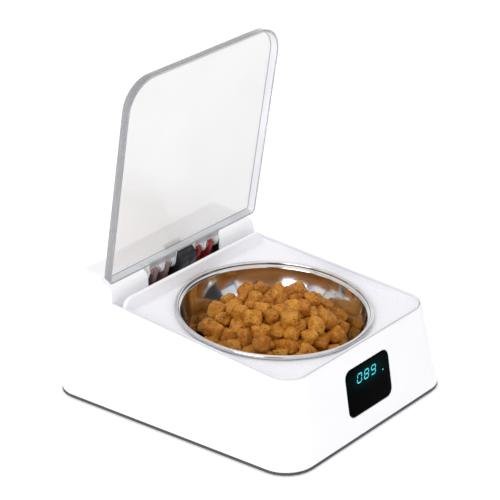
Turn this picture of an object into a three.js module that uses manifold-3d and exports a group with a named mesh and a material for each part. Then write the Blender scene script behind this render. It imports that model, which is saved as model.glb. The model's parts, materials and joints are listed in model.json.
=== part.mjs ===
// Automatic pet feeder: a drafted wedge housing, a sloping tray with a steel bowl,
// a clear lid on a motor-driven hinge, a display in the front wall, and the works inside.
// Millimetres. +X is the feeder's right seen from the front, -Y the front, +Z up.
// The origin is on the ground in the middle of the footprint.

import * as THREE from 'three';
import { mergeVertices } from 'three/addons/utils/BufferGeometryUtils.js';
import Module from 'manifold-3d';

const wasm = await Module();
wasm.setup();

// ---------------------------------------------------------------- driving dimensions
const BASE_WIDTH = 200;
const BASE_DEPTH = 243;
const SIDE_DRAFT = 9.15;
const FRONT_DRAFT = 7.7;
const BACK_DRAFT = 10.8;
const CORNER_RADIUS = 24;
const CORNER_SHRINK = 0.054;
const WALL = 2.2;
const GAP = 0.35;

const FOOT_HEIGHT = 0.8;
const PLATE_TOP = 2.6;
const HOUSING_BOTTOM = PLATE_TOP + 0.3;
const SCREW_PAD_TOP = 5;
const LIP_TOP = 6.6;

const SLOPE = 4.93;
const RIM_FRONT_HEIGHT = 70.8;
const RIM_WALL = 1.7;
const TRAY_WALL = 1.4;
const TRAY_DEPTH = 5.7;
const TRAY_FLOOR = 2.2;
const RIDGE_FRONT = 51.2;
const RIDGE_BACK = 54.6;
const RIDGE_TOP = 91;
const RIDGE_CORNER = 9;
const TROUGH_TOP = 79.6;
const TROUGH_BACK = 62.2;

const HINGE_Y = 69.2;
const HINGE_Z = 91.85;
const BAR_RADIUS = 6.6;
const BAR_WALL_BOTTOM = 77.4;
const HUMP_TOP = 103;
const HUMP_STEP_FRONT = 75;
const HUMP_STEP_BACK = 80;
const HUMP_EDGE = 9;
const HUMP_END = 12;
const WINDOW_HALF = 43.8;
const WINDOW_BOTTOM = 83.5;

const LID_OPEN_ANGLE = 84;
const LID_START = 12;
const LID_LENGTH = 168.2;
const LID_HALF_WIDTH = 85.8;
const LID_TOP = 3;
const LID_SKIRT = 7.47;
const LID_FLARE = 1.6;
const LID_WALL = 2;
const LID_FAR_CORNER = 24;
const LID_NEAR_CORNER = 3;
const HUB_RADIUS = 4;
const ARM_THICKNESS = 2.4;
const ARM_GROUPS = [[-40.5, -23, -9.6], [13.6, 27, 42]];
const SHAFT_RADIUS = 2;
const SHAFT_HALF = 47;

const BOWL_Y = -26.7;
const BOWL_RIM_DEPTH = 3.6;
const BOWL_RIM_RADIUS = 75;
const BOWL_ROLL = 1.7;
const BOWL_INNER_RADIUS = 72;
const BOWL_DEPTH = 46;
const BOWL_METAL = 0.9;
const BOWL_CENTRE_HEIGHT = 10;
const BOWL_HALF_HEIGHT = 60;
const BOWL_HOLE = 74.2;
const BOWL_NECK = 0.008;

const GEAR_MODULE = 0.6;
const LID_TEETH = 22;
const IDLER_SMALL_TEETH = 14;
const IDLER_LARGE_TEETH = 26;
const MOTOR_TEETH = 10;
const GEARBOX_LEFT = -7.2;
const GEARBOX_RIGHT = 11.2;
const GEARBOX_SPLIT = 1.8;
const GEARBOX_WALL = 1.4;

const DECK_TOP = 65.7;
const FRAME_HALF = 46.5;
const FRAME_FRONT = 67;
const FRAME_BACK = 100;

const DISPLAY_WIDTH = 53;
const DISPLAY_HEIGHT = 37.6;
const DISPLAY_CORNER = 6.5;
const DISPLAY_MIDDLE = 37.7;
const DISPLAY_LIP = 3;
const DISPLAY_REBATE = 1.5;
const DISPLAY_WINDOW_BACK = -1.2;
const DISPLAY_WINDOW_FACE = 0.3;
const DISPLAY_BOARD_FRONT = -9.2;
const DISPLAY_POST_RADIUS = 2.6;

const radians = THREE.MathUtils.degToRad;
const tangent = (degrees) => Math.tan(radians(degrees));

// ---------------------------------------------------------------- materials
function material(color, roughness, metalness = 0) {
  return new THREE.MeshStandardMaterial({ color, roughness, metalness });
}

const WHITE_PLASTIC = material(0xf2f1f4, 0.3);
const GREY_PLASTIC = material(0x55565a, 0.55);
const BLACK_PLASTIC = material(0x161719, 0.4);
const MAROON_PLASTIC = material(0x5b2b2b, 0.45);
const CLEAR_PLASTIC = material(0xe9eef0, 0.08);
const BLACK_GLASS = material(0x07090a, 0.06);
const RUBBER = material(0x3a3b3d, 0.85);
const SEAL_RUBBER = material(0xb9bbbf, 0.7);
const STEEL = material(0xc9cbcd, 0.16, 1);
const SCREW_STEEL = material(0x9c9ea1, 0.3, 1);
const BRASS = material(0xb8935a, 0.3, 1);
const ALUMINIUM = material(0xb7babd, 0.4, 1);
const BOARD_GREEN = material(0x1e5a3c, 0.5);
const CELL_WRAP = material(0x2f6fb0, 0.4);
const NYLON = material(0xe4e0d2, 0.5);

// ---------------------------------------------------------------- solids
function solidOf(geometry) {
  const plain = geometry.clone();
  plain.deleteAttribute('normal');
  plain.deleteAttribute('uv');
  const merged = mergeVertices(plain, 1e-5);
  const vertProperties = new Float32Array(merged.attributes.position.array);
  const triVerts = new Uint32Array(merged.index.array);
  return new wasm.Manifold(new wasm.Mesh({ numProp: 3, vertProperties, triVerts }));
}

function geometryOf(solid) {
  const mesh = solid.getMesh();
  const geometry = new THREE.BufferGeometry();
  geometry.setAttribute('position', new THREE.BufferAttribute(mesh.vertProperties, 3));
  geometry.setIndex(new THREE.BufferAttribute(mesh.triVerts, 1));
  geometry.computeVertexNormals();
  return geometry;
}

const join = (solids) => solids.reduce((sum, solid) => sum.add(solid));
const cut = (solid, tools) => tools.reduce((rest, tool) => rest.subtract(tool), solid);

function placed(geometry, x = 0, y = 0, z = 0) {
  return solidOf(geometry.translate(x, y, z));
}

function box(x0, x1, y0, y1, z0, z1) {
  const geometry = new THREE.BoxGeometry(x1 - x0, y1 - y0, z1 - z0);
  return placed(geometry, (x0 + x1) / 2, (y0 + y1) / 2, (z0 + z1) / 2);
}

function rodZ(x, y, z0, z1, radius, sides = 20) {
  const geometry = new THREE.CylinderGeometry(radius, radius, z1 - z0, sides);
  return placed(geometry.rotateX(Math.PI / 2), x, y, (z0 + z1) / 2);
}

function rodX(y, z, x0, x1, radius, sides = 20) {
  const geometry = new THREE.CylinderGeometry(radius, radius, x1 - x0, sides);
  return placed(geometry.rotateZ(Math.PI / 2), (x0 + x1) / 2, y, z);
}

function rodY(x, z, y0, y1, radius, sides = 20) {
  const geometry = new THREE.CylinderGeometry(radius, radius, y1 - y0, sides);
  return placed(geometry, x, (y0 + y1) / 2, z);
}

function extrude(points, length) {
  const shape = new THREE.Shape(points.map(([u, v]) => new THREE.Vector2(u, v)));
  return new THREE.ExtrudeGeometry(shape, { depth: length, bevelEnabled: false });
}

// An outline of [y, z] points carried from x0 to x1.
function slabX(points, x0, x1) {
  const turn = new THREE.Matrix4().set(0, 0, 1, x0, 1, 0, 0, 0, 0, 1, 0, 0, 0, 0, 0, 1);
  return solidOf(extrude(points, x1 - x0).applyMatrix4(turn));
}

// An outline of [x, z] points carried from y0 to y1.
function slabY(points, y0, y1) {
  const turn = new THREE.Matrix4().set(1, 0, 0, 0, 0, 0, -1, y1, 0, 1, 0, 0, 0, 0, 0, 1);
  return solidOf(extrude(points, y1 - y0).applyMatrix4(turn));
}

// An outline of [x, y] points carried from z0 to z1.
function slabZ(points, z0, z1) {
  return solidOf(extrude(points, z1 - z0).translate(0, 0, z0));
}

function arc(cu, cv, radius, fromDegrees, toDegrees, steps) {
  const points = [];
  for (let i = 0; i <= steps; i += 1) {
    const angle = radians(fromDegrees + ((toDegrees - fromDegrees) * i) / steps);
    points.push([cu + radius * Math.cos(angle), cv + radius * Math.sin(angle)]);
  }
  return points;
}

// A closed solid through rings of equal point count, each ring listed anticlockwise from above.
function loft(rings) {
  const count = rings[0].length;
  const positions = rings.flat(2);
  const indices = [];
  for (let level = 0; level + 1 < rings.length; level += 1) {
    for (let i = 0; i < count; i += 1) {
      const a = level * count + i;
      const b = level * count + ((i + 1) % count);
      indices.push(a, b, b + count, a, b + count, a + count);
    }
  }
  const top = (rings.length - 1) * count;
  for (let i = 1; i + 1 < count; i += 1) {
    indices.push(0, i + 1, i, top, top + i, top + i + 1);
  }
  const geometry = new THREE.BufferGeometry();
  geometry.setAttribute('position', new THREE.Float32BufferAttribute(positions, 3));
  geometry.setIndex(indices);
  return solidOf(geometry);
}

function roundedRing(halfWidth, front, back, frontRadius, backRadius, z, steps = 6) {
  const corners = [
    ...arc(halfWidth - backRadius, back - backRadius, backRadius, 0, 90, steps),
    ...arc(-halfWidth + backRadius, back - backRadius, backRadius, 90, 180, steps),
    ...arc(-halfWidth + frontRadius, front + frontRadius, frontRadius, 180, 270, steps),
    ...arc(halfWidth - frontRadius, front + frontRadius, frontRadius, 270, 360, steps),
  ];
  return corners.map(([x, y]) => [x, y, z]);
}

// ---------------------------------------------------------------- the housing's shape
const sideAt = (z) => BASE_WIDTH / 2 - z * tangent(SIDE_DRAFT);
const frontAt = (z) => -BASE_DEPTH / 2 + z * tangent(FRONT_DRAFT);
const backAt = (z) => BASE_DEPTH / 2 - z * tangent(BACK_DRAFT);

function wedge(z0, z1, inset) {
  const ringAt = (z) => {
    const radius = CORNER_RADIUS - CORNER_SHRINK * z - inset;
    return roundedRing(sideAt(z) - inset, frontAt(z) + inset, backAt(z) - inset, radius, radius, z);
  };
  return loft([ringAt(z0), ringAt(z1)]);
}

const RIM_FRONT = frontAt(RIM_FRONT_HEIGHT);
const rimAt = (y, below = 0) => {
  return RIM_FRONT_HEIGHT + (y - RIM_FRONT) * tangent(SLOPE) - below / Math.cos(radians(SLOPE));
};

const FAR = 150;
const BAR_FRONT = HINGE_Y - BAR_RADIUS;

// Side view of everything under the rim, the hinge bar and the rear hump, less a wall thickness.
function topOutline(inset) {
  const radius = BAR_RADIUS - inset;
  const top = HUMP_TOP - inset;
  const edge = HUMP_EDGE - inset;
  const edgeHeight = HUMP_TOP - HUMP_EDGE;
  const edgeY = backAt(edgeHeight) - HUMP_EDGE / Math.cos(radians(BACK_DRAFT));
  return [
    ...arc(HINGE_Y, HINGE_Z, radius, 180, 90, 6),
    [HUMP_STEP_FRONT + inset / 2, HINGE_Z + radius],
    [HUMP_STEP_BACK + inset / 2, top],
    ...arc(edgeY, edgeHeight, edge, 90, BACK_DRAFT, 5),
    [FAR, edgeHeight + edge * Math.sin(radians(BACK_DRAFT))],
    [FAR, -FAR],
    [-FAR, -FAR],
  ];
}

// Front view of the hump, with its rounded ends, less a wall thickness.
function endOutline(inset) {
  const height = HUMP_TOP - HUMP_END;
  const middle = sideAt(height) - HUMP_END / Math.cos(radians(SIDE_DRAFT));
  const radius = HUMP_END - inset;
  const shoulder = height + radius * Math.sin(radians(SIDE_DRAFT));
  return [
    [FAR, shoulder],
    ...arc(middle, height, radius, SIDE_DRAFT, 90, 5),
    ...arc(-middle, height, radius, 90, 180 - SIDE_DRAFT, 5),
    [-FAR, shoulder],
    [-FAR, -FAR],
    [FAR, -FAR],
  ];
}

const HOUSING_POST = { radius: 4, top: 40, reach: 14 };
const TRAY_POST_RADIUS = 3.6;
const BACK_OPENING_START = 105;
const SWITCH_MARGIN = 1.6;
const SCREW_HOLE_TOP = 18;
const HOUSING_SCREWS = [[-86, -98], [86, -98], [-84, 92], [84, 92]];
const TRAY_SCREWS = [[-81, -82], [81, -82], [-76, 38], [76, 38]];
const SCREW_RADIUS = 1.5;
const SCREW_HOLE = SCREW_RADIUS + GAP;
const SCREW_HEAD = 2.8;
const SMALL_SCREW_RADIUS = 1;
const SMALL_SCREW_HOLE = SMALL_SCREW_RADIUS + GAP;

const DISPLAY_FRAME = new THREE.Matrix4()
  .makeTranslation(0, frontAt(DISPLAY_MIDDLE), DISPLAY_MIDDLE)
  .multiply(new THREE.Matrix4().makeRotationX(radians(90 - FRONT_DRAFT)));

// A rounded plate on the front wall, from depth z0 to z1 measured outward from the wall's face.
function displayPlate(width, height, radius, z0, z1) {
  const ring = roundedRing(width / 2, -height / 2, height / 2, radius, radius, 0);
  const geometry = extrude(ring, z1 - z0).translate(0, 0, z0).applyMatrix4(DISPLAY_FRAME);
  return solidOf(geometry);
}

function displayRod(x, y, z0, z1, radius, sides = 16) {
  const geometry = new THREE.CylinderGeometry(radius, radius, z1 - z0, sides).rotateX(Math.PI / 2);
  return solidOf(geometry.translate(x, y, (z0 + z1) / 2).applyMatrix4(DISPLAY_FRAME));
}

const DISPLAY_POSTS = [[-29.5, 0], [29.5, 0]];
const USB = { x: -67, z: 15.4, halfWidth: 4.5, halfHeight: 1.65 };
const ROCKER = { x: 60, z: 32, halfWidth: 5, halfHeight: 7.5 };
const BUTTON = { x: 36, z: 32, radius: 4.5 };

// A rectangular hole through the back wall, larger than its fitting by the margin.
function backOpening({ x, z, halfWidth, halfHeight }, margin) {
  return box(x - halfWidth - margin, x + halfWidth + margin, BACK_OPENING_START, FAR,
    z - halfHeight - margin, z + halfHeight + margin);
}

function upperHousing() {
  const outside = wedge(HOUSING_BOTTOM, FAR, 0)
    .intersect(slabX([[-FAR, rimAt(-FAR)], [BAR_FRONT, rimAt(BAR_FRONT)], ...topOutline(0)], -FAR, FAR))
    .intersect(slabY(endOutline(0), -FAR, FAR));
  const opening = [
    [-FAR, FAR],
    [BAR_FRONT, FAR],
    [BAR_FRONT, BAR_WALL_BOTTOM],
    [BAR_FRONT + WALL, BAR_WALL_BOTTOM],
    ...topOutline(WALL),
  ];
  const rimCavity = wedge(-1, FAR, RIM_WALL).intersect(box(-FAR, FAR, -FAR, BAR_FRONT, 62, FAR));
  const cavity = wedge(-1, FAR, WALL)
    .intersect(slabX(opening, -FAR, FAR))
    .intersect(slabY(endOutline(WALL), -FAR, FAR));
  const posts = HOUSING_SCREWS.map(([x, y]) => {
    const { radius, top, reach } = HOUSING_POST;
    const end = x + Math.sign(x) * reach;
    const web = box(Math.min(x, end), Math.max(x, end), y - 1, y + 1, LIP_TOP + 0.6, top);
    return rodZ(x, y, SCREW_PAD_TOP + GAP, top, radius).add(web).intersect(wedge(0, 60, WALL / 2));
  });
  const pillars = DISPLAY_POSTS.map(([x, y]) => {
    return displayRod(x, y, DISPLAY_BOARD_FRONT + 0.3, -WALL / 2, DISPLAY_POST_RADIUS);
  });
  const shell = join([cut(outside, [cavity, rimCavity]), ...posts, ...pillars]);
  return cut(shell, [
    box(-WINDOW_HALF, WINDOW_HALF, 60, HUMP_STEP_FRONT - 0.5, WINDOW_BOTTOM, 110),
    box(GEARBOX_LEFT - 1, GEARBOX_RIGHT + 1, 60, HUMP_STEP_BACK - 1, WINDOW_BOTTOM, 110),
    displayPlate(DISPLAY_WIDTH + 2 * GAP, DISPLAY_HEIGHT + 2 * GAP, DISPLAY_CORNER, -DISPLAY_REBATE, 5),
    displayPlate(DISPLAY_WIDTH - 2 * DISPLAY_LIP, DISPLAY_HEIGHT - 2 * DISPLAY_LIP,
      DISPLAY_CORNER - 2, -5, 5),
    ...HOUSING_SCREWS.map(([x, y]) => rodZ(x, y, 0, SCREW_HOLE_TOP, SCREW_HOLE, 12)),
    ...DISPLAY_POSTS.map(([x, y]) => displayRod(x, y, -20, -3, SMALL_SCREW_HOLE, 10)),
    backOpening(USB, GAP),
    backOpening(ROCKER, SWITCH_MARGIN),
    rodY(BUTTON.x, BUTTON.z, BACK_OPENING_START, FAR, BUTTON.radius + GAP, 24),
  ]);
}

// ---------------------------------------------------------------- tray, bowl and seal
const BOWL_FRAME = new THREE.Matrix4()
  .makeTranslation(0, BOWL_Y, rimAt(BOWL_Y, BOWL_RIM_DEPTH))
  .multiply(new THREE.Matrix4().makeRotationX(radians(SLOPE)));

function bowlRod(z0, z1, radius, sides) {
  const geometry = new THREE.CylinderGeometry(radius, radius, z1 - z0, sides).rotateX(Math.PI / 2);
  return solidOf(geometry.translate(0, 0, (z0 + z1) / 2).applyMatrix4(BOWL_FRAME));
}

const TRAY_INSET = RIM_WALL + GAP;
const TRAY_SET_DOWN = 0.9;
const SEAL_BOTTOM = 0.55;
const SEAL_TOP = -0.45;

function bowlTray() {
  const under = TRAY_DEPTH + TRAY_FLOOR;
  const whole = wedge(0, FAR, TRAY_INSET).intersect(slabX([
    [-FAR, rimAt(-FAR, under)],
    [RIDGE_FRONT, rimAt(RIDGE_FRONT, under)],
    [RIDGE_BACK, TROUGH_TOP - TRAY_FLOOR],
    [TROUGH_BACK, TROUGH_TOP - TRAY_FLOOR],
    [TROUGH_BACK, rimAt(TROUGH_BACK, TRAY_SET_DOWN)],
    [-FAR, rimAt(-FAR, TRAY_SET_DOWN)],
  ], -FAR, FAR));
  const hollows = slabX([
    [-FAR, rimAt(-FAR, TRAY_DEPTH)],
    [RIDGE_FRONT, rimAt(RIDGE_FRONT, TRAY_DEPTH)],
    [RIDGE_FRONT, FAR],
    [-FAR, FAR],
  ], -FAR, FAR).add(box(-FAR, FAR, RIDGE_BACK, FAR, TROUGH_TOP, FAR));
  const inside = wedge(-1, FAR + 1, TRAY_INSET + TRAY_WALL).intersect(hollows);
  const end = sideAt(RIDGE_TOP) - TRAY_INSET + 0.4;
  const ridge = slabY([
    [-end, TROUGH_TOP - 1],
    [end, TROUGH_TOP - 1],
    ...arc(end - RIDGE_CORNER, RIDGE_TOP - RIDGE_CORNER, RIDGE_CORNER, 0, 90, 6),
    ...arc(-end + RIDGE_CORNER, RIDGE_TOP - RIDGE_CORNER, RIDGE_CORNER, 90, 180, 6),
  ], RIDGE_FRONT, RIDGE_BACK);
  const posts = TRAY_SCREWS.map(([x, y]) => {
    return rodZ(x, y, SCREW_PAD_TOP + GAP, rimAt(y, TRAY_DEPTH + 1), TRAY_POST_RADIUS, 14);
  });
  return cut(join([whole.subtract(inside), ridge, ...posts]), [
    bowlRod(-20, 20, BOWL_HOLE, 64),
    ...TRAY_SCREWS.map(([x, y]) => rodZ(x, y, 0, SCREW_HOLE_TOP, SCREW_HOLE, 12)),
  ]);
}

function lidSeal() {
  const band = wedge(0, FAR, TRAY_INSET + 0.1).subtract(wedge(-1, FAR + 1, TRAY_INSET + TRAY_WALL - 0.1));
  return band.intersect(slabX([
    [-FAR, rimAt(-FAR, SEAL_BOTTOM)],
    [RIDGE_FRONT - 1, rimAt(RIDGE_FRONT - 1, SEAL_BOTTOM)],
    [RIDGE_FRONT - 1, rimAt(RIDGE_FRONT - 1, SEAL_TOP)],
    [-FAR, rimAt(-FAR, SEAL_TOP)],
  ], -FAR, FAR));
}

// The bowl's wall is part of an ellipse whose centre is above the rim; its floor is flat.
// Points run from the neck, at share 0, to the edge of the floor, at share 1.
function bowlPoint(share, grow) {
  const halfHeight = BOWL_HALF_HEIGHT + grow;
  const neck = Math.asin(BOWL_CENTRE_HEIGHT / halfHeight);
  const floor = Math.asin((BOWL_CENTRE_HEIGHT + BOWL_DEPTH + grow) / halfHeight);
  const turn = neck + (floor - neck) * share;
  const radius = (BOWL_INNER_RADIUS + grow) * Math.cos(turn) / Math.cos(neck);
  return new THREE.Vector2(radius, BOWL_CENTRE_HEIGHT - halfHeight * Math.sin(turn));
}

function bowlGeometry() {
  const steps = 11;
  const inside = [];
  const outside = [];
  for (let i = 0; i <= steps; i += 1) {
    const share = Math.max(i / steps, BOWL_NECK);
    inside.push(bowlPoint(share, 0));
    outside.push(bowlPoint(share, BOWL_METAL));
  }
  inside.push(new THREE.Vector2(0, -BOWL_DEPTH));
  outside.push(new THREE.Vector2(0, -BOWL_DEPTH - BOWL_METAL));
  const roll = arc(BOWL_RIM_RADIUS, 0, BOWL_ROLL, -115, 205, 9);
  const rim = roll.map(([r, z]) => new THREE.Vector2(r, z));
  const profile = [...outside.reverse(), ...rim, ...inside];
  return new THREE.LatheGeometry(profile, 48).rotateX(Math.PI / 2);
}

// ---------------------------------------------------------------- lid
const LID_FAR = LID_START + LID_LENGTH;
const LID_EDGE_ROUNDING = 0.8;
const WEB_END = -6.6;

function lidRing(z, inset) {
  const flare = (LID_FLARE * (LID_TOP - z)) / LID_SKIRT;
  const grow = flare - inset;
  return roundedRing(LID_HALF_WIDTH + grow, -LID_FAR - grow, -LID_START + grow,
    LID_FAR_CORNER + grow, LID_NEAR_CORNER + grow, z);
}

function lidSolid() {
  const edge = LID_TOP - LID_SKIRT;
  const inner = LID_TOP - LID_WALL;
  const rounding = LID_EDGE_ROUNDING;
  const outside = loft([lidRing(edge, 0), lidRing(LID_TOP - rounding, 0), lidRing(LID_TOP, rounding)]);
  const inside = loft([lidRing(edge - 1, LID_WALL), lidRing(inner, LID_WALL)]);
  const wallY = -LID_START - LID_WALL / 2;
  const armOutline = [
    ...arc(0, 0, HUB_RADIUS, -90, 120, 10),
    [wallY, edge + 4.3],
    [wallY, edge + 0.3],
  ];
  const arms = ARM_GROUPS.flat().map((x) => slabX(armOutline, x - ARM_THICKNESS / 2, x + ARM_THICKNESS / 2));
  const webs = ARM_GROUPS.map(([first, , last]) => box(first, last, wallY, WEB_END, edge + 0.3, edge + 1.9));
  return cut(join([outside.subtract(inside), ...arms, ...webs]), [
    rodX(0, 0, -FAR, FAR, SHAFT_RADIUS + GAP, 16),
  ]);
}

// ---------------------------------------------------------------- base plate and its fittings
const FEET = [[-74, -94], [74, -94], [-74, 96], [74, 96]];
const FOOT_RADIUS = 8;
const LOAD_CELL = { halfLength: 37.5, y0: -28.5, y1: -16, z0: 6.3, z1: 18.7 };
const WEIGH_PLATE = { radius: 40, thickness: 2.6, hubX: 30, hubRadius: 5.5 };
const BOARD_THICKNESS = 1.6;
const BOARD = { x0: -79, x1: -50, y0: 70, y1: 107, z: 11.9 };
const FRAME_SCREWS = [[-55, 83], [55, 83]];
const BOARD_POSTS = [[-75.5, 73.2], [-53.5, 73.2], [-75.5, 103.5], [-53.5, 103.5]];

function basePlate() {
  const plate = wedge(FOOT_HEIGHT, PLATE_TOP, 0);
  const lip = wedge(PLATE_TOP - 0.5, LIP_TOP, WALL + GAP)
    .subtract(wedge(PLATE_TOP - 1, LIP_TOP + 1, WALL + GAP + 1.5));
  const allScrews = [...HOUSING_SCREWS, ...TRAY_SCREWS];
  const pads = allScrews.map(([x, y]) => rodZ(x, y, FOOT_HEIGHT, SCREW_PAD_TOP, 4.6, 16));
  const cellBlock = box(-LOAD_CELL.halfLength, -22, LOAD_CELL.y0, LOAD_CELL.y1, 1.5, LOAD_CELL.z0 - 0.3);
  const boardPosts = BOARD_POSTS.map(([x, y]) => rodZ(x, y, 1.5, BOARD.z - 0.3, 2.4, 10));
  const body = join([plate, lip, ...pads, cellBlock, ...boardPosts]).intersect(wedge(0, 60, 0));
  return cut(body, [
    ...allScrews.map(([x, y]) => rodZ(x, y, 0, 8, SCREW_HOLE, 12)),
    ...allScrews.map(([x, y]) => rodZ(x, y, 0, 3.2, SCREW_HEAD + GAP, 16)),
    ...FEET.map(([x, y]) => rodZ(x, y, 0, FOOT_HEIGHT + 1, FOOT_RADIUS + GAP, 24)),
  ]);
}

function plateScrew([x, y]) {
  return rodZ(x, y, 1.2, 2.8, SCREW_HEAD, 14).add(rodZ(x, y, 2.5, 15, SCREW_RADIUS, 10));
}

function rubberFoot([x, y]) {
  return rodZ(x, y, 0, FOOT_HEIGHT + 0.7, FOOT_RADIUS, 24);
}

function loadCell() {
  const { halfLength, y0, y1, z0, z1 } = LOAD_CELL;
  const middle = (z0 + z1) / 2;
  return cut(box(-halfLength, halfLength, y0, y1, z0, z1), [
    rodY(-5, middle, y0 - 1, y1 + 1, 4.2, 16),
    rodY(5, middle, y0 - 1, y1 + 1, 4.2, 16),
    box(-5, 5, y0 - 1, y1 + 1, middle - 1, middle + 1),
  ]);
}

function weighPlate() {
  const under = -(BOWL_DEPTH + BOWL_METAL + 0.4);
  const disc = bowlRod(under - WEIGH_PLATE.thickness, under, WEIGH_PLATE.radius, 40);
  const middle = (LOAD_CELL.y0 + LOAD_CELL.y1) / 2;
  const hub = rodZ(WEIGH_PLATE.hubX, middle, LOAD_CELL.z1 + 0.3, 27.2, WEIGH_PLATE.hubRadius, 16);
  return disc.add(hub);
}

// ---------------------------------------------------------------- hinge, gears and motor
const IDLER_DISTANCE = (GEAR_MODULE * (LID_TEETH + IDLER_SMALL_TEETH)) / 2;
const MOTOR_DISTANCE = (GEAR_MODULE * (IDLER_LARGE_TEETH + MOTOR_TEETH)) / 2;
const IDLER = [HINGE_Y + 0.8 * IDLER_DISTANCE, HINGE_Z - 0.6 * IDLER_DISTANCE];
const MOTOR = [IDLER[0] + 0.6 * MOTOR_DISTANCE, IDLER[1] - 0.8 * MOTOR_DISTANCE];

const PIN_RADIUS = 1;
const LID_GEAR_ENDS = [3.4, 8.2];
const IDLER_SMALL_ENDS = [2, 8];
const IDLER_LARGE_ENDS = [-4.2, -0.4];
const PINION_ENDS = [-4.6, 0];
const TOOTH_RISE = 0.8;
const TOOTH_FALL = 1.2;

// A spur gear's outline with straight-flanked teeth; the first tooth points along +Y plus a turn.
function gearOutline(teeth, turnDegrees) {
  const pitchRadius = (GEAR_MODULE * teeth) / 2;
  const tip = pitchRadius + GEAR_MODULE * TOOTH_RISE;
  const root = pitchRadius - GEAR_MODULE * TOOTH_FALL;
  const step = 360 / teeth;
  const points = [];
  for (let i = 0; i < teeth; i += 1) {
    const middle = turnDegrees + i * step;
    const corners = [[-0.3, root], [-0.1, tip], [0.1, tip], [0.3, root]];
    for (const [share, radius] of corners) {
      const angle = radians(middle + share * step);
      points.push([radius * Math.cos(angle), radius * Math.sin(angle)]);
    }
  }
  return points;
}

function gear(teeth, turnDegrees, [y, z], x0, x1) {
  const outline = gearOutline(teeth, turnDegrees).map(([u, v]) => [u + y, v + z]);
  return slabX(outline, x0, x1);
}

const TOWARD_IDLER = THREE.MathUtils.radToDeg(Math.atan2(-0.6, 0.8));
const TOWARD_MOTOR = THREE.MathUtils.radToDeg(Math.atan2(-0.8, 0.6));

function lidGear() {
  const teeth = gear(LID_TEETH, TOWARD_IDLER, [HINGE_Y, HINGE_Z], ...LID_GEAR_ENDS);
  return teeth.subtract(rodX(HINGE_Y, HINGE_Z, 0, 12, SHAFT_RADIUS + GAP, 16));
}

function idlerGear() {
  const halfTooth = 180 / IDLER_SMALL_TEETH;
  const small = gear(IDLER_SMALL_TEETH, TOWARD_IDLER + 180 + halfTooth, IDLER, ...IDLER_SMALL_ENDS);
  const large = gear(IDLER_LARGE_TEETH, TOWARD_MOTOR, IDLER, ...IDLER_LARGE_ENDS);
  const sleeve = rodX(...IDLER, -1, 3, 2.8, 16);
  return join([small, large, sleeve]).subtract(rodX(...IDLER, -10, 12, PIN_RADIUS + GAP, 12));
}

function motorPinion() {
  const halfTooth = 180 / MOTOR_TEETH;
  const teeth = gear(MOTOR_TEETH, TOWARD_MOTOR + 180 + halfTooth, MOTOR, ...PINION_ENDS);
  return teeth.subtract(rodX(...MOTOR, -10, 12, PIN_RADIUS + GAP, 10));
}

const GEARBOX_FRONT = 67;
const GEARBOX_BACK = 92;
const GEARBOX_SHOULDER = 84;
const IDLER_COVER_RADIUS = 10.4;
const HUB_COVER_RADIUS = 9;

function gearboxOutline(inset) {
  const bottom = DECK_TOP + 0.5 + inset;
  return [
    [GEARBOX_FRONT + inset, bottom],
    [GEARBOX_BACK - inset, bottom],
    [GEARBOX_BACK - inset, GEARBOX_SHOULDER],
    ...arc(IDLER[0], IDLER[1], IDLER_COVER_RADIUS - inset, 25, 60, 4),
    ...arc(HINGE_Y, HINGE_Z, HUB_COVER_RADIUS - inset, 55, 235, 12),
    [GEARBOX_FRONT + inset, GEARBOX_SHOULDER - 2],
  ];
}

function gearboxHalf(x0, x1, wallX0, wallX1) {
  const shell = slabX(gearboxOutline(0), x0, x1);
  const hollow = slabX(gearboxOutline(GEARBOX_WALL), wallX0, wallX1);
  return cut(shell, [
    hollow,
    rodX(HINGE_Y, HINGE_Z, -FAR, FAR, SHAFT_RADIUS + GAP, 16),
    rodX(...IDLER, -FAR, FAR, PIN_RADIUS + GAP, 12),
  ]);
}

const gearboxCase = () => gearboxHalf(GEARBOX_LEFT, GEARBOX_SPLIT, GEARBOX_LEFT + GEARBOX_WALL, FAR);

function gearboxCover() {
  const half = gearboxHalf(GEARBOX_SPLIT + GAP, GEARBOX_RIGHT, -FAR, GEARBOX_RIGHT - GEARBOX_WALL);
  return half.subtract(rodX(...MOTOR, 0, FAR, 1.6, 12));
}

const MOTOR_FACE = GEARBOX_RIGHT + GAP;

function lidMotor() {
  const [y, z] = MOTOR;
  const gearhead = box(MOTOR_FACE, MOTOR_FACE + 9, y - 5, y + 5, z - 6, z + 6);
  const can = rodX(y, z, MOTOR_FACE + 8.5, MOTOR_FACE + 24, 5.8, 20);
  const flats = box(MOTOR_FACE + 8, MOTOR_FACE + 30, y - 5, y + 5, z - 7, z + 7);
  const boss = rodX(y, z, MOTOR_FACE + 23.5, MOTOR_FACE + 26, 2, 12);
  return join([gearhead, can.intersect(flats), boss]);
}

const motorShaft = () => rodX(...MOTOR, -5.2, GEARBOX_RIGHT + 0.05, PIN_RADIUS, 10);

const BRACKET = { front: 67, back: 77.4, plate: 2.2, top: 95, foot: 2.8, earRadius: 4.6, earHalf: 2 };
const BRACKET_SCREW_RADIUS = 1.2;
const BUSH_RADIUS = SHAFT_RADIUS + GAP + 0.6;

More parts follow.
